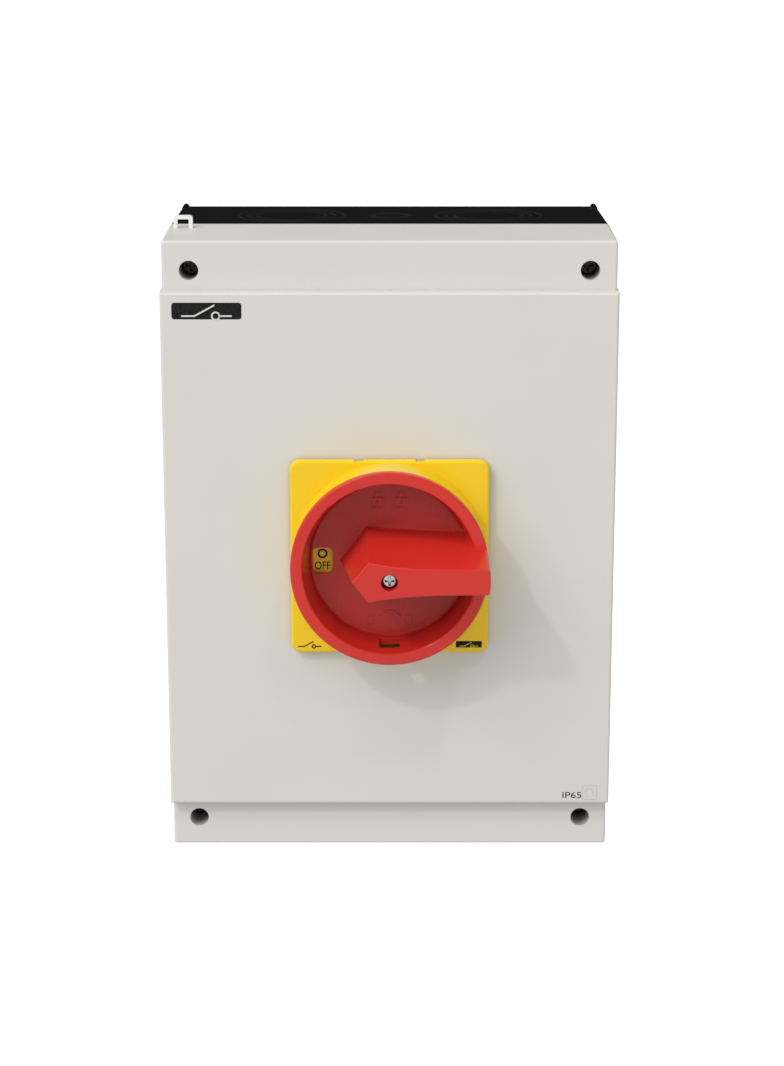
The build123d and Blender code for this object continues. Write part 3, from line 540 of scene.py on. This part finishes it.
# ---- surfaces --------------------------------------------------------------------------------------
class Surface:
    """A mesh in the making: grids of points, with quads between neighbours and flat caps."""

    def __init__(self) -> None:
        """Starts with no points."""
        self.points: list[Array] = []
        self.faces: list[Array] = []
        self.count = 0

    def grid(self, points: Array, wrap_rows: bool = False, wrap_columns: bool = False,
             caps: bool = False) -> None:
        """Adds a grid of points and the quads between its rows and columns.

        A quad joins (r, c), (r, c+1), (r+1, c+1) and (r+1, c). Where the grid is a closed solid its
        signed volume, a sixth of the sum of the triangles' triple products, shows whether the faces
        look inwards, and then they are turned round.

        Args:
            points: an array of rows by columns by 3.
            wrap_rows: whether the last row joins the first.
            wrap_columns: whether the last column joins the first.
            caps: whether the first and last rows are closed by flat faces.
        """
        rows, columns = points.shape[:2]
        index = np.arange(rows * columns).reshape(rows, columns)
        if wrap_rows:
            index = np.vstack([index, index[:1]])
        if wrap_columns:
            index = np.hstack([index, index[:, :1]])
        quads = np.stack([index[:-1, :-1], index[:-1, 1:], index[1:, 1:], index[1:, :-1]], -1).reshape(-1, 4)
        faces = [quads]
        if caps:
            ring = np.arange(columns)
            faces += [ring[None, ::-1], (ring + (rows - 1) * columns)[None, :]]
        flat = points.reshape(-1, 3)
        middle = flat.mean(0)
        corner = flat[quads] - middle
        volume = (np.einsum("ij,ij->i", corner[:, 0], np.cross(corner[:, 1], corner[:, 2])).sum()
                  + np.einsum("ij,ij->i", corner[:, 0], np.cross(corner[:, 2], corner[:, 3])).sum())
        if volume < 0:
            faces = [f[:, ::-1] for f in faces]
        self.points.append(flat)
        self.faces += [f + self.count for f in faces]
        self.count += len(flat)

    def build(self, name: str, smooth: bool = False) -> bpy.types.Object:
        """Makes the mesh and its object.

        Args:
            name: the piece's name.
            smooth: whether its faces are shaded smooth.

        Returns:
            The new object, at the origin.
        """
        mesh = bpy.data.meshes.new(name)
        co = np.concatenate(self.points).astype(np.float32)
        loops = np.concatenate([f.ravel() for f in self.faces]).astype(np.int32)
        sizes = np.concatenate([np.full(len(f), f.shape[1]) for f in self.faces])
        starts = np.concatenate([[0], np.cumsum(sizes)[:-1]]).astype(np.int32)
        mesh.vertices.add(len(co))
        mesh.vertices.foreach_set("co", co.ravel())
        mesh.loops.add(len(loops))
        mesh.loops.foreach_set("vertex_index", loops)
        mesh.polygons.add(len(starts))
        mesh.polygons.foreach_set("loop_start", starts)
        mesh.polygons.foreach_set("use_smooth", np.full(len(starts), smooth))
        mesh.update(calc_edges=True)
        mesh.validate()
        piece = bpy.data.objects.new(name, mesh)
        bpy.context.scene.collection.objects.link(piece)
        return piece


def upright(flat: Array, depth: Array | float) -> Array:
    """Puts points drawn as seen from the front into space.

    Args:
        flat: an array of (x, z) pairs.
        depth: the y of each point, or of all of them.

    Returns:
        The same array with (x, y, z) triples.
    """
    y = np.broadcast_to(np.asarray(depth, float), flat.shape[:-1])
    return np.stack([flat[..., 0], y, flat[..., 1]], -1)


def stroke(path: Array, width: float, back: float, front: float, surface: Surface,
           closed: bool = False) -> None:
    """Adds a raised line of even width along a path seen from the front.

    At each point the line's two sides lie half a width away along the corner's bisector, lengthened by
    one over the cosine of half the corner, so the width stays even round it. The profile is a rectangle.

    Args:
        path: an array of (x, z) points.
        width: the line's width.
        back: the y of the line's foot.
        front: the y of its face.
        surface: the mesh it is added to.
        closed: whether the path's end joins its start.
    """
    ahead = np.roll(path, -1, 0) - path
    if not closed:
        ahead[-1] = ahead[-2]
    ahead /= np.linalg.norm(ahead, axis=1, keepdims=True)
    behind = np.roll(ahead, 1, 0)
    if not closed:
        behind[0] = ahead[0]
    side = np.stack([-(ahead + behind)[:, 1], (ahead + behind)[:, 0]], -1)
    side /= np.linalg.norm(side, axis=1, keepdims=True)
    square = np.stack([-ahead[:, 1], ahead[:, 0]], -1)
    reach = side * (width / 2 / np.einsum("ij,ij->i", side, square))[:, None]
    left, right = path + reach, path - reach
    profile = np.stack([upright(left, back), upright(left, front), upright(right, front),
                        upright(right, back)], 1)
    surface.grid(profile, wrap_rows=closed, wrap_columns=True, caps=not closed)


def arc(centre: tuple[float, float], radius: float, start: float, stop: float, steps: int = 24) -> Array:
    """Points on a circle: centre plus radius times (cosine, sine) of even angles.

    Args:
        centre: the (x, z) of the middle.
        radius: the circle's radius.
        start: the first angle in degrees, from +X towards +Z.
        stop: the last angle in degrees.
        steps: how many points.

    Returns:
        An array of (x, z) points.
    """
    angle = np.radians(np.linspace(start, stop, steps))
    return np.stack([centre[0] + radius * np.cos(angle), centre[1] + radius * np.sin(angle)], -1)


def rounded_box(centre: tuple[float, float], width: float, height: float, radius: float,
                steps: int = 8) -> Array:
    """A rounded rectangle's outline: four quarter circles joined by straight sides.

    Args:
        centre: the (x, z) of the middle.
        width: the size along X.
        height: the size along Z.
        radius: the corners' radius.
        steps: how many points each corner has.

    Returns:
        An array of (x, z) points, counter-clockwise.
    """
    x, z = width / 2 - radius, height / 2 - radius
    places = ((x, z, 0), (-x, z, 90), (-x, -z, 180), (x, -z, 270))
    turns = [arc((centre[0] + i, centre[1] + j), radius, a, a + 90, steps) for i, j, a in places]
    return np.concatenate(turns)


def pad(outline: Array, back: float, front: float, surface: Surface) -> None:
    """Adds a flat solid patch with the outline, from back to front."""
    surface.grid(np.stack([upright(outline, back), upright(outline, front)]), wrap_columns=True, caps=True)


def lettering(text: str, size: tuple[float, float], centre: tuple[float, float], back: float,
              front: float, name: str, weight: float = 0.0) -> bpy.types.Object:
    """Plain raised lettering that faces the front.

    The built-in typeface is made a mesh, and its points are scaled to the size, moved to the centre
    and stood upright.

    Args:
        text: the letters or figures.
        size: the width of the whole text and the height of the tallest letter.
        centre: the (x, z) of the middle.
        back: the y of the letters' foot.
        front: the y of their face.
        name: the piece's name.
        weight: how much every stroke is swollen, as a share of the type size.

    Returns:
        The lettering as a mesh object at the origin.
    """
    curve = bpy.data.curves.new(name + "_line", "FONT")
    curve.body = text
    curve.extrude = 0.5
    curve.offset = weight
    curve.resolution_u = 6
    drawn = bpy.data.objects.new(name + "_line", curve)
    bpy.context.scene.collection.objects.link(drawn)
    bpy.context.view_layer.update()
    mesh = bpy.data.meshes.new_from_object(drawn.evaluated_get(bpy.context.evaluated_depsgraph_get()))
    bpy.data.objects.remove(drawn)
    co = np.zeros(len(mesh.vertices) * 3, np.float32)
    mesh.vertices.foreach_get("co", co)
    co = co.reshape(-1, 3)
    low, high = co.min(0), co.max(0)
    scale = np.array(size) / (high - low)[:2]
    flat = (co[:, :2] - (low + high)[:2] / 2) * scale + np.array(centre)
    placed = upright(flat, back + (front - back) * (co[:, 2] + 0.5))
    mesh.vertices.foreach_set("co", placed.astype(np.float32).ravel())
    mesh.update()
    mesh.name = name
    piece = bpy.data.objects.new(name, mesh)
    bpy.context.scene.collection.objects.link(piece)
    return piece


def finish_piece(piece: bpy.types.Object, body: Body, slot: Slot, material: bpy.types.Material,
                 *replaced: str) -> bpy.types.Object:
    """Dresses a new piece and lets it ride on its body.

    Args:
        piece: the new object.
        body: the body it moves with.
        slot: the material slot it belongs to; not used.
        material: its material.
        replaced: the CAD nodes it stands for.

    Returns:
        The same object.
    """
    piece.data.materials.clear()
    piece.data.materials.append(material)
    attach(piece, body.value)
    if replaced:
        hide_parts(*replaced)
    log.info("%s: %d faces on %s", piece.name, len(piece.data.polygons), body.value)
    return piece


# ---- sub-assemblies --------------------------------------------------------------------------------
@dataclass
class CadNodes:
    """The carried-over CAD nodes, each dressed with the finish of its slot."""

    palette: Palette

    def dress(self) -> None:
        """Gives every CAD node its slot's material."""
        for entry in frame["record"]["subparts"]:
            node = frame["nodes"][entry["node"]]
            material = self.palette.of(Slot(entry["material_slot"]))
            if node.material_slots:
                node.material_slots[0].material = material
            else:
                node.data.materials.append(material)
            log.info("%s: %s", node.name, material.name)


@dataclass
class CoverMarks:
    """The print on the cover: a plain black tab with a switch symbol, the protection rating, and the
    raised double square of a double-insulated device."""

    palette: Palette
    film: float = 0.04 * MM
    sunk: float = 0.1 * MM
    tab_centre: tuple[float, float] = (-79.5 * MM, 109.5 * MM)
    tab_size: tuple[float, float] = (30.4 * MM, 7.3 * MM)
    rating_centre: tuple[float, float] = (83.1 * MM, -113.4 * MM)
    rating_size: tuple[float, float] = (8.6 * MM, 2.9 * MM)
    square_centre: tuple[float, float] = (91.0 * MM, -112.0 * MM)
    square_sizes: tuple[float, float] = (6.6 * MM, 3.4 * MM)
    square_line: float = 0.32 * MM
    square_height: float = 0.12 * MM
    symbol_length: float = 22.0 * MM
    symbol_line: float = 0.7 * MM

    def build(self) -> None:
        """Builds the marks and dresses them."""
        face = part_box("enclosure_cover")[0].y
        ink = self.palette.black_ink(self.palette.grey)
        tab = Surface()
        pad(rounded_box(self.tab_centre, *self.tab_size, 1.2 * MM), face + self.sunk, face - self.film, tab)
        finish_piece(tab.build("cover_tab"), Body.COVER, Slot.BLACK_PLASTIC, ink)
        symbol = Surface()
        switch_symbol(self.tab_centre, self.symbol_length, self.symbol_line, face + self.sunk,
                      face - OVERPRINT * self.film, symbol)
        finish_piece(symbol.build("cover_tab_symbol"), Body.COVER, Slot.GREY_PLASTIC,
                     self.palette.pale_ink(self.palette.grey))
        rating = lettering("IP65", self.rating_size, self.rating_centre, face + self.sunk,
                           face - self.film, "protection_rating")
        finish_piece(rating, Body.COVER, Slot.BLACK_PLASTIC, ink)
        squares = Surface()
        for size in self.square_sizes:
            outline = rounded_box(self.square_centre, size, size, 0.35 * MM, 3)
            stroke(outline, self.square_line, face + self.sunk, face - self.square_height, squares,
                   closed=True)
        finish_piece(squares.build("double_square"), Body.COVER, Slot.GREY_PLASTIC,
                     self.palette.of(Slot.GREY_PLASTIC))


def switch_symbol(centre: tuple[float, float], length: float, width: float, back: float, front: float,
                  surface: Surface) -> None:
    """Adds the standard drawing of a switch: a line, an open blade, a small circle and a line.

    Args:
        centre: the (x, z) of the middle.
        length: the whole length.
        width: the line's width.
        back: the y of the lines' foot.
        front: the y of their face.
        surface: the mesh it is added to.
    """
    unit = length / 10.0
    base = centre[1] - unit
    left = centre[0] - length / 2
    lead = np.array([[left, base], [left + 2.6 * unit, base], [left + 6.6 * unit, base + 2.2 * unit]])
    tail = np.array([[left + 7.6 * unit, base], [left + length, base]])
    stroke(lead, width, back, front, surface)
    stroke(tail, width, back, front, surface)
    ring = arc((left + 6.8 * unit, base), 0.75 * unit, 0, 360, 25)[:-1]
    stroke(ring, width, back, front, surface, closed=True)


@dataclass
class PlateMarks:
    """The print on the yellow plate: the two positions, a switch symbol and a small black tab."""

    palette: Palette
    film: float = 0.04 * MM
    sunk: float = 0.1 * MM
    off_centre: tuple[float, float] = (-29.7 * MM, -0.9 * MM)
    ring_radius: float = 1.8 * MM
    line: float = 0.85 * MM
    off_size: tuple[float, float] = (7.0 * MM, 3.7 * MM)
    on_size: tuple[float, float] = (5.2 * MM, 3.7 * MM)
    symbol_line: float = 0.55 * MM
    on_centre: tuple[float, float] = (-0.5 * MM, 29.5 * MM)
    symbol_centre: tuple[float, float] = (-35.7 * MM, -40.0 * MM)
    tab_centre: tuple[float, float] = (35.4 * MM, -40.0 * MM)
    tab_size: tuple[float, float] = (11.6 * MM, 3.0 * MM)
    ring_rise: float = 2.9 * MM
    word_drop: float = 2.6 * MM
    bar_left: float = 4.0 * MM
    word_right: float = 1.2 * MM
    symbol_length: float = 10.4 * MM
    tab_symbol_length: float = 8.4 * MM
    tab_symbol_line: float = 0.3 * MM
    weight: float = 0.012

    def build(self) -> None:
        """Builds the marks and dresses them."""
        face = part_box("front_plate")[0].y
        back, front = face + self.sunk, face - self.film
        ink = self.palette.black_ink(self.palette.yellow)

        zero = Surface()
        middle = (self.off_centre[0], self.off_centre[1] + self.ring_rise)
        ring = arc(middle, self.ring_radius, 0, 360, 49)[:-1]
        stroke(ring, self.line, back, front, zero, closed=True)
        finish_piece(zero.build("off_ring", True), Body.COVER, Slot.BLACK_PLASTIC, ink)
        middle = (self.off_centre[0], self.off_centre[1] - self.word_drop)
        word = lettering("OFF", self.off_size, middle, back, front, "off_word", self.weight)
        finish_piece(word, Body.COVER, Slot.BLACK_PLASTIC, ink)

        one = Surface()
        half = self.on_size[1] / 2
        bar = np.array([[-self.bar_left, -half], [-self.bar_left, half]]) + np.array(self.on_centre)
        stroke(bar, self.line, back, front, one)
        finish_piece(one.build("on_bar"), Body.COVER, Slot.BLACK_PLASTIC, ink)
        middle = (self.on_centre[0] + self.word_right, self.on_centre[1])
        word = lettering("ON", self.on_size, middle, back, front, "on_word", self.weight)
        finish_piece(word, Body.COVER, Slot.BLACK_PLASTIC, ink)

        symbol = Surface()
        switch_symbol(self.symbol_centre, self.symbol_length, self.symbol_line, back, front, symbol)
        finish_piece(symbol.build("plate_symbol"), Body.COVER, Slot.BLACK_PLASTIC, ink)
        tab = Surface()
        pad(rounded_box(self.tab_centre, *self.tab_size, 0.5 * MM), back, front, tab)
        finish_piece(tab.build("plate_tab"), Body.COVER, Slot.BLACK_PLASTIC, ink)
        symbol = Surface()
        switch_symbol(self.tab_centre, self.tab_symbol_length, self.tab_symbol_line, back,
                      face - OVERPRINT * self.film, symbol)
        finish_piece(symbol.build("plate_tab_symbol"), Body.COVER, Slot.YELLOW_PLASTIC,
                     self.palette.pale_ink(self.palette.yellow))


@dataclass
class HandleRelief:
    """The low pictures moulded into the dish floor: two closed padlocks above, a turn arrow below."""

    palette: Palette
    height: float = 0.16 * MM
    line: float = 0.5 * MM
    upper: tuple[float, float] = (0.0, 27.0 * MM)
    lower: tuple[float, float] = (0.0, -26.5 * MM)
    foot_depth: float = 0.3 * MM
    lock_size: tuple[float, float] = (5.6 * MM, 4.4 * MM)
    shackle_radius: float = 1.8 * MM
    shackle_rise: float = 3.0 * MM
    lock_spacing: float = 5.2 * MM
    sweep_radius: float = 5.2 * MM
    mark_size: tuple[float, float] = (3.0 * MM, 4.2 * MM)
    mark_spacing: float = 8.4 * MM

    def padlock(self, centre: tuple[float, float], back: float, front: float, surface: Surface) -> None:
        """Adds a padlock: a rounded body, an arched shackle and a keyhole.

        Args:
            centre: the (x, z) of the body's middle.
            back: the y of the lines' foot.
            front: the y of their face.
            surface: the mesh it is added to.
        """
        body = rounded_box(centre, *self.lock_size, 0.6 * MM, 5)
        stroke(body, self.line, back, front, surface, closed=True)
        arch = arc((centre[0], centre[1] + self.shackle_rise), self.shackle_radius, 0, 180, 20)
        foot = centre[1] + self.lock_size[1] / 2
        right, left = ([[centre[0] + side * self.shackle_radius, foot]] for side in (1, -1))
        stroke(np.concatenate([right, arch, left]), self.line, back, front, surface)
        hole = arc((centre[0], centre[1]), 0.55 * MM, 0, 360, 17)[:-1]
        stroke(hole, self.line * 0.7, back, front, surface, closed=True)

    def build(self) -> None:
        """Builds the relief and dresses it."""
        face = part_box("handle")[1].y - DISH_FLOOR
        back, front = face + self.foot_depth, face - self.height
        relief = Surface()
        for side in (-1, 1):
            centre = (self.upper[0] + side * self.lock_spacing, self.upper[1] - 1.0 * MM)
            self.padlock(centre, back, front, relief)
        sweep = arc((self.lower[0], self.lower[1] - 2.0 * MM), self.sweep_radius, 155, 35, 24)
        stroke(sweep, self.line, back, front, relief)
        tip = sweep[-1]
        head = np.array([[-1.9, 0.9], [0.35, -0.3], [-0.2, 2.3]]) * MM + tip
        stroke(head, self.line, back, front, relief)
        for side in (-1, 1):
            centre = (self.lower[0] + side * self.mark_spacing, self.lower[1] - 1.2 * MM)
            mark = rounded_box(centre, *self.mark_size, 1.2 * MM, 5)
            stroke(mark, self.line, back, front, relief, closed=True)
        finish_piece(relief.build("handle_relief"), Body.HANDLE, Slot.RED_PLASTIC,
                     self.palette.of(Slot.RED_PLASTIC))


@dataclass
class LatchSprings:
    """The latch's two compression springs.

    The wire's middle runs on a helix: x goes evenly along the spring while y and z turn round its axis.
    A circle of the wire's radius is carried along it, square to the helix.
    """

    palette: Palette
    turns: float = 6.5
    wire: float = 0.42 * MM
    steps: int = 180
    sides: int = 10

    def build(self) -> None:
        """Builds both springs as one piece and dresses it."""
        low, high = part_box("latch_springs")
        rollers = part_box("latch_rollers")
        middle = (low + high) / 2
        radius = (high.z - low.z) / 2 - self.wire
        springs = Surface()
        for side in (-1.0, 1.0):
            near = max(abs(rollers[0].x), abs(rollers[1].x)) + self.wire
            far = high.x - self.wire
            share = np.linspace(0.0, 1.0, self.steps)
            angle = 2 * math.pi * self.turns * share
            line = np.stack([side * (near + (far - near) * share), middle.y + radius * np.cos(angle),
                             middle.z + radius * np.sin(angle)], -1)
            ahead = np.gradient(line, axis=0)
            ahead /= np.linalg.norm(ahead, axis=1, keepdims=True)
            out = np.stack([np.zeros_like(angle), np.cos(angle), np.sin(angle)], -1)
            across = np.cross(ahead, out)
            turn = np.linspace(0, 2 * math.pi, self.sides, endpoint=False)
            tube = (line[:, None, :] + self.wire * (np.cos(turn)[None, :, None] * out[:, None, :]
                                                    + np.sin(turn)[None, :, None] * across[:, None, :]))
            springs.grid(tube, wrap_columns=True, caps=True)
        finish_piece(springs.build("coiled_latch_springs", True), Body.ENCLOSURE, Slot.SPRING_STEEL,
                     self.palette.of(Slot.SPRING_STEEL), "latch_springs")


@dataclass
class RimGasket:
    """The foam cord in the base's rim.

    A profile whose top is a half ellipse and whose foot is flat is carried round a rounded rectangle.
    """

    palette: Palette
    cord_width: float = 3.0 * MM
    corner: float = 2.6 * MM
    sides: int = 14

    def build(self) -> None:
        """Builds the cord and dresses it."""
        low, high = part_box("cover_gasket")
        outer = (high.x - low.x, high.z - low.z)
        centre = ((low.x + high.x) / 2, (low.z + high.z) / 2)
        turn = np.linspace(0, math.pi, self.sides)
        inwards = self.cord_width / 2 * (1 - np.cos(turn))
        rise = (high.y - low.y) * np.sin(turn) ** 0.5
        rows = [upright(rounded_box(centre, outer[0] - 2 * i, outer[1] - 2 * i, self.corner, 8), high.y - r)
                for i, r in zip(inwards, rise)]
        cord = Surface()
        cord.grid(np.stack(rows), wrap_rows=True, wrap_columns=True)
        finish_piece(cord.build("foam_cord", True), Body.ENCLOSURE, Slot.FOAM, self.palette.of(Slot.FOAM),
                     "cover_gasket")


@dataclass
class TerminalNumbers:
    """Raised pole numbers on the two terminal guards: odd on the line side, even on the load side."""

    palette: Palette
    size: tuple[float, float] = (2.4 * MM, 4.0 * MM)
    pitch: float = 24.0 * MM
    inset: float = 3.4 * MM
    right: float = 8.5 * MM
    sunk: float = 0.1 * MM
    height: float = 0.2 * MM

    def build(self) -> None:
        """Builds the six figures and dresses them."""
        for side, first, guard in ((1, 1, "terminal_shroud_line"), (-1, 2, "terminal_shroud_load")):
            low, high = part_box(guard)
            z = (high.z if side > 0 else low.z) - side * self.inset
            for pole in range(3):
                figure = first + 2 * pole
                centre = ((pole - 1) * self.pitch + self.right, z)
                piece = lettering(str(figure), self.size, centre, low.y + self.sunk, low.y - self.height,
                                  f"pole_number_{figure}")
                finish_piece(piece, Body.ENCLOSURE, Slot.WHITE_NYLON, self.palette.of(Slot.WHITE_NYLON))


# ---- studio ----------------------------------------------------------------------------------------
@dataclass(frozen=True)
class Softbox:
    """One rectangular studio light, aimed at the middle of the switch."""

    name: str
    place: tuple[float, float, float]
    size: tuple[float, float]
    power: float

    def build(self, target: Vector) -> None:
        """Makes the light.

        Args:
            target: the point it faces.
        """
        light = bpy.data.lights.new(self.name, "AREA")
        light.shape = "RECTANGLE"
        light.size, light.size_y = self.size
        light.energy = self.power
        lamp = bpy.data.objects.new(self.name, light)
        lamp.location = self.place
        lamp.rotation_euler = (target - Vector(self.place)).to_track_quat("-Z", "Y").to_euler()
        bpy.context.scene.collection.objects.link(lamp)


@dataclass(frozen=True)
class DistantLight:
    """A wide, even light from far away, which reaches the floor and the switch alike."""

    name: str
    towards: tuple[float, float, float]
    strength: float
    spread: float

    def build(self) -> None:
        """Makes the light; spread is the angle that its disc fills, in degrees."""
        light = bpy.data.lights.new(self.name, "SUN")
        light.energy = self.strength
        light.angle = math.radians(self.spread)
        lamp = bpy.data.objects.new(self.name, light)
        lamp.rotation_euler = Vector(self.towards).to_track_quat("-Z", "Y").to_euler()
        bpy.context.scene.collection.objects.link(lamp)


@dataclass
class Studio:
    """A pale floor far below, a pale surround, a wide key light, softboxes and the camera."""

    focal: float = 84.12
    sensor: float = 36.0
    camera_place: tuple[float, float, float] = (1.07 * MM, -1196.0 * MM, 285.3 * MM)
    pitch: float = 14.413
    surround: float = 0.58
    card: float = 0.02
    card_y: float = 0.25
    card_z: float = 0.32
    card_edge: float = 0.3
    floor_drop: float = 2.5
    floor_half: float = 200.0
    floor_glow: float = 0.4
    key: DistantLight = DistantLight("key", (0.85, 0.75, -1.0), 1.4, 56.0)
    lights: tuple[Softbox, ...] = (
        Softbox("fill", (0.7, -1.6, -0.5), (1.4, 1.4), 1.0),
        Softbox("edge light", (-1.1, -1.5, 1.5), (0.12, 0.12), 8.0),
        Softbox("second edge light", (0.5, -1.2, 2.0), (0.12, 0.12), 4.5),
    )

    def build(self) -> None:
        """Makes the floor, the surround, the lights and the camera."""
        scene = bpy.context.scene
        scene.view_settings.view_transform = "Standard"
        scene.view_settings.look = "None"
        self.sky()
        self.floor()
        self.key.build()
        middle = (CAD_BOX[0] + CAD_BOX[1]) / 2
        for light in self.lights:
            light.build(Vector(middle))
        camera = bpy.data.cameras.new("camera")
        camera.lens = self.focal
        camera.sensor_width = self.sensor
        camera.sensor_fit = "AUTO"
        camera.clip_end = 400.0
        holder = bpy.data.objects.new("camera", camera)
        holder.location = self.camera_place
        holder.rotation_euler = Euler((math.radians(90.0 - self.pitch), 0.0, 0.0))
        scene.collection.objects.link(holder)
        scene.camera = holder

    def sky(self) -> None:
        """Makes the surround: even and soft, with a dark card low behind the switch.

        The light falls from surround to card where a direction's y is over card_y and its z is under
        card_z, over a soft edge of card_edge. Seen directly it is as pale as the floor.
        """
        world = bpy.data.worlds.new("surround")
        world.use_nodes = True
        tree = Tree(world.node_tree)
        split = tree.add("ShaderNodeSeparateXYZ")
        tree.join(tree.add("ShaderNodeTexCoord").outputs["Generated"], split.inputs["Vector"])
        behind = tree.ranged(split.outputs["Y"], 0.0, 1.0, self.card_y, self.card_y + self.card_edge)
        low = tree.ranged(split.outputs["Z"], 0.0, 1.0, self.card_z + self.card_edge, self.card_z)
        soft = tree.ranged(tree.combine("MULTIPLY", behind, low), self.surround, self.card, 0.0, 1.0)
        seen = tree.add("ShaderNodeLightPath").outputs["Is Camera Ray"]
        background = world.node_tree.nodes["Background"]
        background.inputs["Color"].default_value = (1.0, 1.0, 1.0, 1.0)
        tree.join(tree.combine("MAXIMUM", soft, seen), background.inputs["Strength"])
        bpy.context.scene.world = world

    def floor(self) -> None:
        """Makes the floor, a flat square of 400 m that throws no light back up."""
        half = self.floor_half
        level = CAD_BOX[0][2] - self.floor_drop
        corners = np.array([[[-half, -half, level], [half, -half, level]],
                            [[-half, half, level], [half, half, level]]])
        sheet = Surface()
        sheet.grid(corners)
        floor = sheet.build("floor")
        graph = Graph("pale floor")
        graph.join(graph.blend(graph.noise(0.8, 3.0), (0.94, 0.94, 0.94), (0.97, 0.97, 0.97)),
                   graph.shader.inputs["Base Color"])
        graph.shader.inputs["Roughness"].default_value = 0.9
        graph.shader.inputs["Emission Color"].default_value = (1.0, 1.0, 1.0, 1.0)
        graph.shader.inputs["Emission Strength"].default_value = self.floor_glow
        floor.data.materials.append(graph.material)
        floor.visible_diffuse = False


def main() -> None:
    """Builds the pieces in order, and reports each."""
    logging.basicConfig(level=logging.INFO, format="%(name)s %(message)s")
    palette = Palette()
    steps: list[tuple[str, Callable[[], None]]] = [
        ("CAD nodes", CadNodes(palette).dress),
        ("cover marks", CoverMarks(palette).build),
        ("plate marks", PlateMarks(palette).build),
        ("handle relief", HandleRelief(palette).build),
        ("latch springs", LatchSprings(palette).build),
        ("rim gasket", RimGasket(palette).build),
        ("terminal numbers", TerminalNumbers(palette).build),
        ("studio", Studio().build),
    ]
    for name, build in steps:
        build()
        log.info("built the %s", name)


if __name__ == "__main__":
    main()
